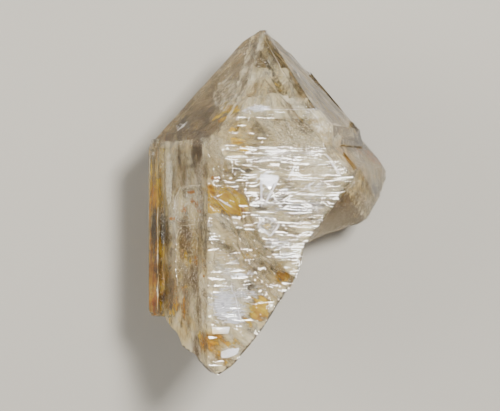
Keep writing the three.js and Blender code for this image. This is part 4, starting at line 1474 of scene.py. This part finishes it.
# %% [markdown]
# ## Milk
# The palest veils are milk: bubbles so small and so many that they scatter all light. They lie under
# nearly every face, thickest along the broken rim and in the steep band and the lobe, and a second,
# deeper sheet under the larger faces gives the milk its depth.

# %% Milky veils
# A patch is an ellipse in pixels with the density that it adds: x, y, two half axes, strength.
LOWER_RIM = [
    (305, 236), (299, 250), (291, 268), (284, 288), (272, 308), (263, 326), (250, 346), (237, 362),
    (220, 371), (206, 364), (190, 349), (175, 335),
]
rim_patches = [(x, y, 5, 8, 0.5) for x, y in LOWER_RIM]
haze_sheets = [
    veil_sheet(TIP_LEFT, 1.3, 0.3, [
        (222, 95, 10, 18, 0.4), (234, 78, 7, 20, 0.4), (212, 128, 10, 10, 0.1), (190, 130, 12, 9, -0.3),
    ], turn=60),
    veil_sheet(TIP_FRONT, 0.7, 0.55, [
        (270, 85, 10, 14, 0.1), (257, 42, 12, 9, 0.35), (288, 92, 8, 10, 0.1), (262, 68, 5, 3, -0.4),
    ], turn=80, fine=1.1, stretch=3),
    veil_sheet(TIP_FRONT, 1.8, 0.75, [], turn=60, fine=1.2, cell=0.5),
    veil_sheet(TIP_RIGHT, 1.0, 0.2, [(330, 112, 10, 8, 0.5), (300, 60, 5, 14, 0.2)], turn=100),
    veil_sheet(STEEP_FACE, 0.6, 0.7, [
        (300, 130, 26, 18, 0.5), (283, 112, 30, 3, 0.2), (262, 135, 11, 13, -0.35),
        (240, 135, 10, 12, -0.1),
    ], turn=90, fine=0.6),
    veil_sheet(STEEP_FACE, 1.8, 0.85, [], turn=70, fine=1.2, cell=0.5),
    veil_sheet(FRONT_FACE, 0.45, 0.6, [
        (236, 163, 16, 12, 0.35), (316, 168, 14, 12, 0.5), (310, 188, 20, 10, 0.35),
        (248, 172, 8, 8, -0.3), (268, 185, 12, 14, 0.2),
        *rim_patches,
    ], bend=0.08, stretch=4),
    veil_sheet(FRONT_FACE, 1.4, 0.5, [(310, 180, 20, 20, 0.2)], bend=0.3, turn=-30, fine=1.0, cell=0.5),
    veil_sheet(LEFT_FACE, 0.75, 0.55, [
        (169, 178, 4, 30, 0.5), (187, 206, 13, 14, 0.4), (185, 320, 20, 20, 0.3),
        *rim_patches,
    ], turn=90, fine=0.5),
    veil_sheet(LOW_FIELD, 0.4, 0.7, [
        (222, 305, 12, 18, 0.4), (235, 232, 20, 14, 0.1), (262, 258, 10, 16, -0.2), (230, 270, 14, 14, 0.3),
        (225, 345, 18, 14, 0.3), *rim_patches,
    ], turn=-40, bend=0.15),
    veil_sheet(LOW_FIELD, 1.3, 0.7, [(225, 345, 20, 20, 0.2)], turn=-60, bend=0.3, fine=1.0, cell=0.5),
    veil_sheet(LOBE_SLOPE, 1.1, 0.5, [
        (338, 146, 10, 20, 0.6), (358, 166, 14, 6, 0.4), (353, 136, 7, 8, -0.5), (368, 152, 10, 6, -0.2),
    ], turn=110),
    veil_sheet(LOBE_END, 0.6, 0.5, [(352, 198, 12, 10, 0.3), (360, 212, 16, 6, 0.4)], turn=120),
    veil_sheet(LOBE_END, 1.8, 0.6, [], turn=100, fine=1.2, cell=0.5),
]
milky = veil_material(
    "milky_veil", [(0.7, 0.56, 0.28), (0.88, 0.79, 0.52), (0.94, 0.89, 0.76)], 0.65, soft=0.7
)
veils("haze_veils", haze_sheets, milky)

# %% [markdown]
# ## Tan haze
# The stone's warmth is thin brown haze, and it gathers where light has the longest way to go: under
# the point, on the left faces and in the lobe. Volume alone would tint every part by its depth, so
# sheets place the colour where the real stone has it.

# %% Tan veils
tan_sheets = [
    veil_sheet(TIP_LEFT, 0.8, 0.6, [
        (190, 128, 12, 8, 0.3), (205, 138, 16, 8, 0.3), (228, 90, 9, 16, -0.2),
    ], turn=55, fine=0.7),
    veil_sheet(TIP_FRONT, 0.5, 0.5, [
        (285, 105, 20, 5, 0.3), (280, 60, 6, 10, 0.2), (258, 90, 8, 14, -0.1),
    ], turn=70, fine=1.0, stretch=3),
    veil_sheet(TIP_RIGHT, 0.4, 1.0, [(332, 116, 10, 5, -0.4)], turn=125, fine=0.6),
    veil_sheet(TIP_RIGHT, 0.9, 0.9, [], turn=110, fine=0.4, cell=0.5),
    veil_sheet(STEEP_FACE, 1.1, 0.25, [(262, 132, 12, 16, 0.3), (235, 135, 10, 14, 0.2)], turn=60,
               fine=0.6),
    veil_sheet(LEFT_FACE, 0.95, 0.35, [
        (188, 168, 16, 14, 0.25), (206, 238, 3, 22, 0.25), (187, 206, 11, 14, -0.3),
        (187, 258, 12, 26, 0.15),
    ], turn=88, fine=0.6, stretch=1.8),
    veil_sheet(LOW_FIELD, 0.8, 0.2, [
        (236, 232, 20, 16, 0.15), (266, 258, 8, 18, 0.35), (222, 350, 20, 12, 0.1), (258, 308, 16, 14, 0.2),
    ], turn=-50, fine=0.8),
    veil_sheet(LOBE_SLOPE, 0.9, 0.75, [(338, 145, 9, 18, -0.3), (370, 156, 12, 8, 0.3)], turn=120),
    veil_sheet(LOBE_SLOPE, 1.5, 0.7, [], turn=100, fine=0.4, cell=0.5),
    veil_sheet(LOBE_END, 0.3, 0.45, [(384, 170, 8, 10, 0.4), (352, 198, 12, 8, -0.1)], turn=110),
]
tan = veil_material("tan_veil", [(0.2, 0.13, 0.04), (0.36, 0.25, 0.09), (0.56, 0.41, 0.18)], 0.6, soft=0.7)
veils("tan_veils", tan_sheets, tan)

# %% [markdown]
# ## The side that isn't seen
# Nothing at the back is in the photograph. The same milk and haze go on there, evenly and without
# patches, so that the stone looks like one stone from every side.

# %% Veils toward the back
back_haze_sheets = [
    veil_sheet(BACK_RIGHT, 1.0, 0.45, [], turn=80, cell=0.5),
    veil_sheet(LOBE_BACK, 1.2, 0.5, [], turn=60, cell=0.5),
    veil_sheet(BACK_LEFT, 1.1, 0.45, [], turn=85, cell=0.5),
    *(veil_sheet(face, 1.1, 0.5, [], turn=70, cell=0.5) for face in BACK_POINTS),
    *(veil_sheet(ALONG_AXIS, depth, 0.5, [], turn=70, bend=0.8, cell=0.5) for depth in (-8, -2, 5)),
]
back_tan_sheets = [
    veil_sheet(BACK_RIGHT, 0.6, 0.4, [], turn=70, cell=0.5),
    veil_sheet(LOBE_BACK, 0.7, 0.45, [], turn=80, cell=0.5),
    veil_sheet(BACK_LEFT, 0.7, 0.4, [], turn=80, cell=0.5),
    *(veil_sheet(face, 0.6, 0.45, [], turn=50, cell=0.5) for face in BACK_POINTS),
]
veils("back_haze_veils", back_haze_sheets, milky)
veils("back_tan_veils", back_tan_sheets, tan)

# %% [markdown]
# ## Smoke and painted shade
# The darkest haze is drawn out into streaks along the growth lines. It lies nearer to the surface
# than the tan, so its noise is finer and its streaks are longer. On the lobe and down the left
# column the sheets are painted shade as well: they darken faces that mirror dark surroundings.

# %% Smoky veils and painted shade
smoke_and_shade_sheets = [
    veil_sheet(TIP_LEFT, 0.5, 0.15, [
        (186, 124, 8, 6, 0.5), (200, 137, 13, 7, 0.45), (215, 88, 5, 16, 0.2),
    ], turn=55, fine=1.2),
    veil_sheet(TIP_FRONT, 0.4, 0.08, [(258, 68, 4, 3, 0.7), (270, 105, 9, 2, 0.5)], turn=20),
    veil_sheet(TIP_RIGHT, 0.35, 0.4, [(318, 90, 4, 20, 0.2), (334, 108, 6, 4, 0.3)], turn=128, fine=1.2),
    veil_sheet(STEEP_FACE, 0.5, 0.05, [(261, 135, 9, 13, 0.75), (248, 150, 8, 2, 0.5)], turn=3, fine=2.2,
               stretch=4),
    veil_sheet(FRONT_FACE, 0.3, 0.15, [
        (238, 172, 12, 12, 0.25), (290, 204, 40, 12, 0.25), (248, 172, 3, 5, 0.5), (300, 230, 14, 10, 0.15),
    ], bend=0.05, stretch=5, fine=1.8),
    veil_sheet(LEFT_FACE, 0.66, 0.12, [
        (190, 160, 14, 8, 0.2), (206, 238, 3, 24, 0.5), (184, 322, 4, 5, 0.4), (172, 255, 2, 30, 0.4),
    ], turn=88, fine=1.2, stretch=1.8),
    veil_sheet(LOW_FIELD, 0.4, 0.12, [
        (236, 232, 20, 16, 0.25), (266, 258, 8, 18, 0.25),
    ], turn=-50, fine=1.5),
    # The lobe's and the column's sheets below are partly painted shade.
    veil_sheet(LOBE_SLOPE, 0.7, 0.3, [
        (354, 136, 5, 9, 0.8), (362, 148, 4, 8, 0.3), (375, 166, 3, 3, 0.5),
    ], turn=128, fine=1.3, stretch=4),
    veil_sheet(LOBE_END, 0.25, 0.25, [(375, 189, 5, 7, 0.6), (352, 198, 12, 8, 0.1)], turn=110, fine=1.4),
    veil_sheet(COLUMN_FACE, 0.25, 0.15, [
        (154.5, 230, 2.4, 34, 0.6), (162.5, 228, 2.6, 24, 0.7), (164, 298, 5, 7, 0.6),
        (153, 165, 3, 12, 0.4),
    ], turn=88, fine=2.5, stretch=5, bend=0.03, cell=0.2),
]
smoke_and_shade = veil_material("smoke_and_shade_veil", [(0.045, 0.032, 0.013), (0.13, 0.095, 0.05)], 0.65)
veils("smoke_and_shade_veils", smoke_and_shade_sheets, smoke_and_shade)

# %% [markdown]
# ## Iron haze
# Around each golden film the iron thins out to a stain. A hard-edged veil over the same spots, with
# a ramp from rust to gold, joins the films to the clear stone around them.

# %% Iron veils
iron_sheets = [
    veil_sheet(TIP_LEFT, 0.4, 0.1, [(231, 110, 11, 7, 0.8), (221, 120, 8, 5, 0.6)], turn=40, fine=1.5),
    veil_sheet(TIP_FRONT, 0.4, 0.1, [(259, 66, 4, 3, 0.4)], turn=40),
    veil_sheet(TIP_RIGHT, 0.5, 0.3, [(335, 112, 8, 8, 0.3), (318, 88, 3, 24, 0.3)], turn=120),
    veil_sheet(STEEP_FACE, 0.3, 0.05, [
        (240, 127, 11, 9, 0.8), (238, 141, 12, 8, 1.0), (247, 148, 10, 5, 0.9), (300, 136, 24, 12, 0.3),
    ], turn=30, fine=1.5),
    veil_sheet(LOW_FIELD, 0.15, 0.08, [
        (222, 198, 24, 11, 1.0), (239, 206, 12, 10, 1.0), (257, 312, 12, 11, 0.85), (262, 302, 10, 7, 0.7),
        (282, 275, 8, 6, 0.95), (252, 254, 9, 6, 0.6), (213, 341, 12, 8, 0.6), (222, 358, 16, 9, 0.5),
        (232, 340, 12, 8, 0.4),
    ], turn=-35, fine=1.5, bend=0.05),
    veil_sheet(COLUMN_FACE, 0.3, 0.35, [
        (152, 285, 6, 40, 0.6), (162, 250, 6, 14, 0.5), (166, 288, 6, 14, 0.7), (155, 195, 6, 22, 0.4),
    ], turn=88, fine=2.5, stretch=6, bend=0.03, cell=0.2),
    veil_sheet(LEFT_FACE, 0.3, 0.12, [
        (187, 258, 12, 30, 0.3), (184, 310, 16, 14, 0.3), (176, 300, 8, 12, 0.3), (205, 342, 8, 10, 0.5),
    ], turn=90, fine=1.0),
    veil_sheet(LOBE_SLOPE, 0.8, 0.3, [
        (370, 154, 12, 6, 0.8), (346, 154, 12, 12, 0.25), (384, 168, 5, 8, 0.5),
    ], turn=135, fine=1.2),
    veil_sheet(LOBE_END, 0.2, 0.15, [(355, 198, 12, 8, 0.4), (384, 170, 5, 8, 0.6)], turn=120),
    veil_sheet(FRONT_FACE, 0.5, 0.1, [(312, 165, 14, 12, 0.3), (266, 225, 3, 3, 0.7)], bend=0.03),
]
IRON_COLOURS = [(0.2, 0.07, 0.0), (0.44, 0.23, 0.0), (0.6, 0.41, 0.004), (0.7, 0.54, 0.03)]
veils("iron_veils", iron_sheets, veil_material("iron_veil", IRON_COLOURS, 0.9, soft=0.4))

# %% [markdown]
# ## Silver hair
# Close under the striated faces lie the brightest cracks, so thin that they break into hairs. They
# are the same sheets with a finer grain, a hard edge, a little metal and a bumped, smooth surface,
# so that some hairs catch the key light and their neighbours don't. They are painted highlights as
# well: they stand in for the glints of the striations and of the steep band's top edge.

# %% Silver veils
# Under the striations and the steep band's top edge: painted glints.
silver_glint_sheets = [
    veil_sheet(FRONT_FACE, 0.36, 0.05, [
        (264, 158, 20, 2, 0.4), (298, 206, 40, 9, 0.4), (268, 190, 8, 14, 0.15), (278, 243, 14, 5, 0.6),
        (286, 256, 12, 4, 0.55), (315, 187, 14, 6, 0.15), (268, 225, 10, 8, 0.2),
        (318, 153, 8, 3, 0.4), (300, 172, 40, 10, -0.1),
    ], fine=5.5, stretch=3.5, bend=0.02, cell=0.3),
    veil_sheet(LOW_FIELD, 0.3, 0.05, [
        (222, 304, 12, 15, 0.85), (237, 318, 9, 8, 0.7), (252, 296, 20, 12, 0.4), (230, 268, 12, 14, 0.3),
        (250, 230, 10, 10, 0.15), (228, 353, 14, 6, 0.4), (248, 270, 10, 6, 0.3), (224, 200, 26, 12, -0.1),
    ], fine=4.0, stretch=4, turn=-3, bend=0.03, cell=0.3),
    veil_sheet(STEEP_FACE, 0.3, 0.0, [
        (255, 109, 15, 1.4, 0.7), (290, 109, 26, 1.0, 0.35), (259, 108, 7, 4, 0.7), (246, 114, 5, 2, 0.5),
    ], fine=3.0, stretch=9, bend=0.02, cell=0.15),
]
silver = veil_material(
    "silver_glint_veil", [(0.9, 0.88, 0.94), (1.0, 1.0, 1.0)], 0.95,
    soft=0.2, metallic=0.6, roughness=0.22, relief=0.014,
)
veils("silver_glint_veils", silver_glint_sheets, silver)

# %% [markdown]
# ## Floor and soft light
# The stone lies on pale paper. A dim, even sky fills it from all sides; a large panel up and to
# the right glints in the striations, whose little slopes all face that way.

# %% Stage and lights
LOOKED_AT = Vector((0, 0, 10)) * MM
FLOOR_HALF = 600 * MM


def area_light(name, place, size, power):
    """A square panel at a place in millimetres, turned to face the stone."""
    data = bpy.data.lights.new(name, "AREA")
    data.size = size * MM
    data.energy = power
    lamp = bpy.data.objects.new(name, data)
    bpy.context.collection.objects.link(lamp)
    lamp.location = Vector(place) * MM
    lamp.rotation_euler = (LOOKED_AT - lamp.location).to_track_quat("-Z", "Y").to_euler()


def make_floor():
    """A square of pale, dull paper under the stone."""
    signs = np.array([[-1, -1, 0], [1, -1, 0], [1, 1, 0], [-1, 1, 0]])
    floor = mesh_object("floor", signs * FLOOR_HALF, [(0, 1, 2, 3)])
    paper, _, shader = new_material("floor_paper")
    shader.inputs["Base Color"].default_value = (0.29, 0.27, 0.23, 1)
    shader.inputs["Roughness"].default_value = 0.8
    dress(floor, paper)


def make_sky(horizon, zenith, strength):
    """A world that brightens smoothly from the horizon up."""
    world = bpy.data.worlds.new("studio")
    world.use_nodes = True
    tree = world.node_tree
    way = tree.nodes.new("ShaderNodeTexCoord").outputs["Generated"]
    up = node(tree, "ShaderNodeSeparateXYZ", {0: way}).outputs["Z"]
    blend = node(tree, "ShaderNodeValToRGB", {"Fac": up})
    blend.color_ramp.elements[0].color = (*horizon, 1)
    blend.color_ramp.elements[1].color = (*zenith, 1)
    tree.links.new(blend.outputs[0], tree.nodes["Background"].inputs["Color"])
    tree.nodes["Background"].inputs["Strength"].default_value = strength
    bpy.context.scene.world = world


make_floor()
# Light has many clear sheets and walls to cross before it reaches the paper and the sky.
bpy.context.scene.cycles.transparent_max_bounces = 64
bpy.context.scene.cycles.transmission_bounces = 16
bpy.context.scene.cycles.max_bounces = 24
area_light("key", (74, 125, 345), size=100, power=3.7)
area_light("left", (-340, 20, 160), size=200, power=1.6)
make_sky(horizon=(0.2, 0.19, 0.17), zenith=(1.15, 1.15, 1.15), strength=0.68)
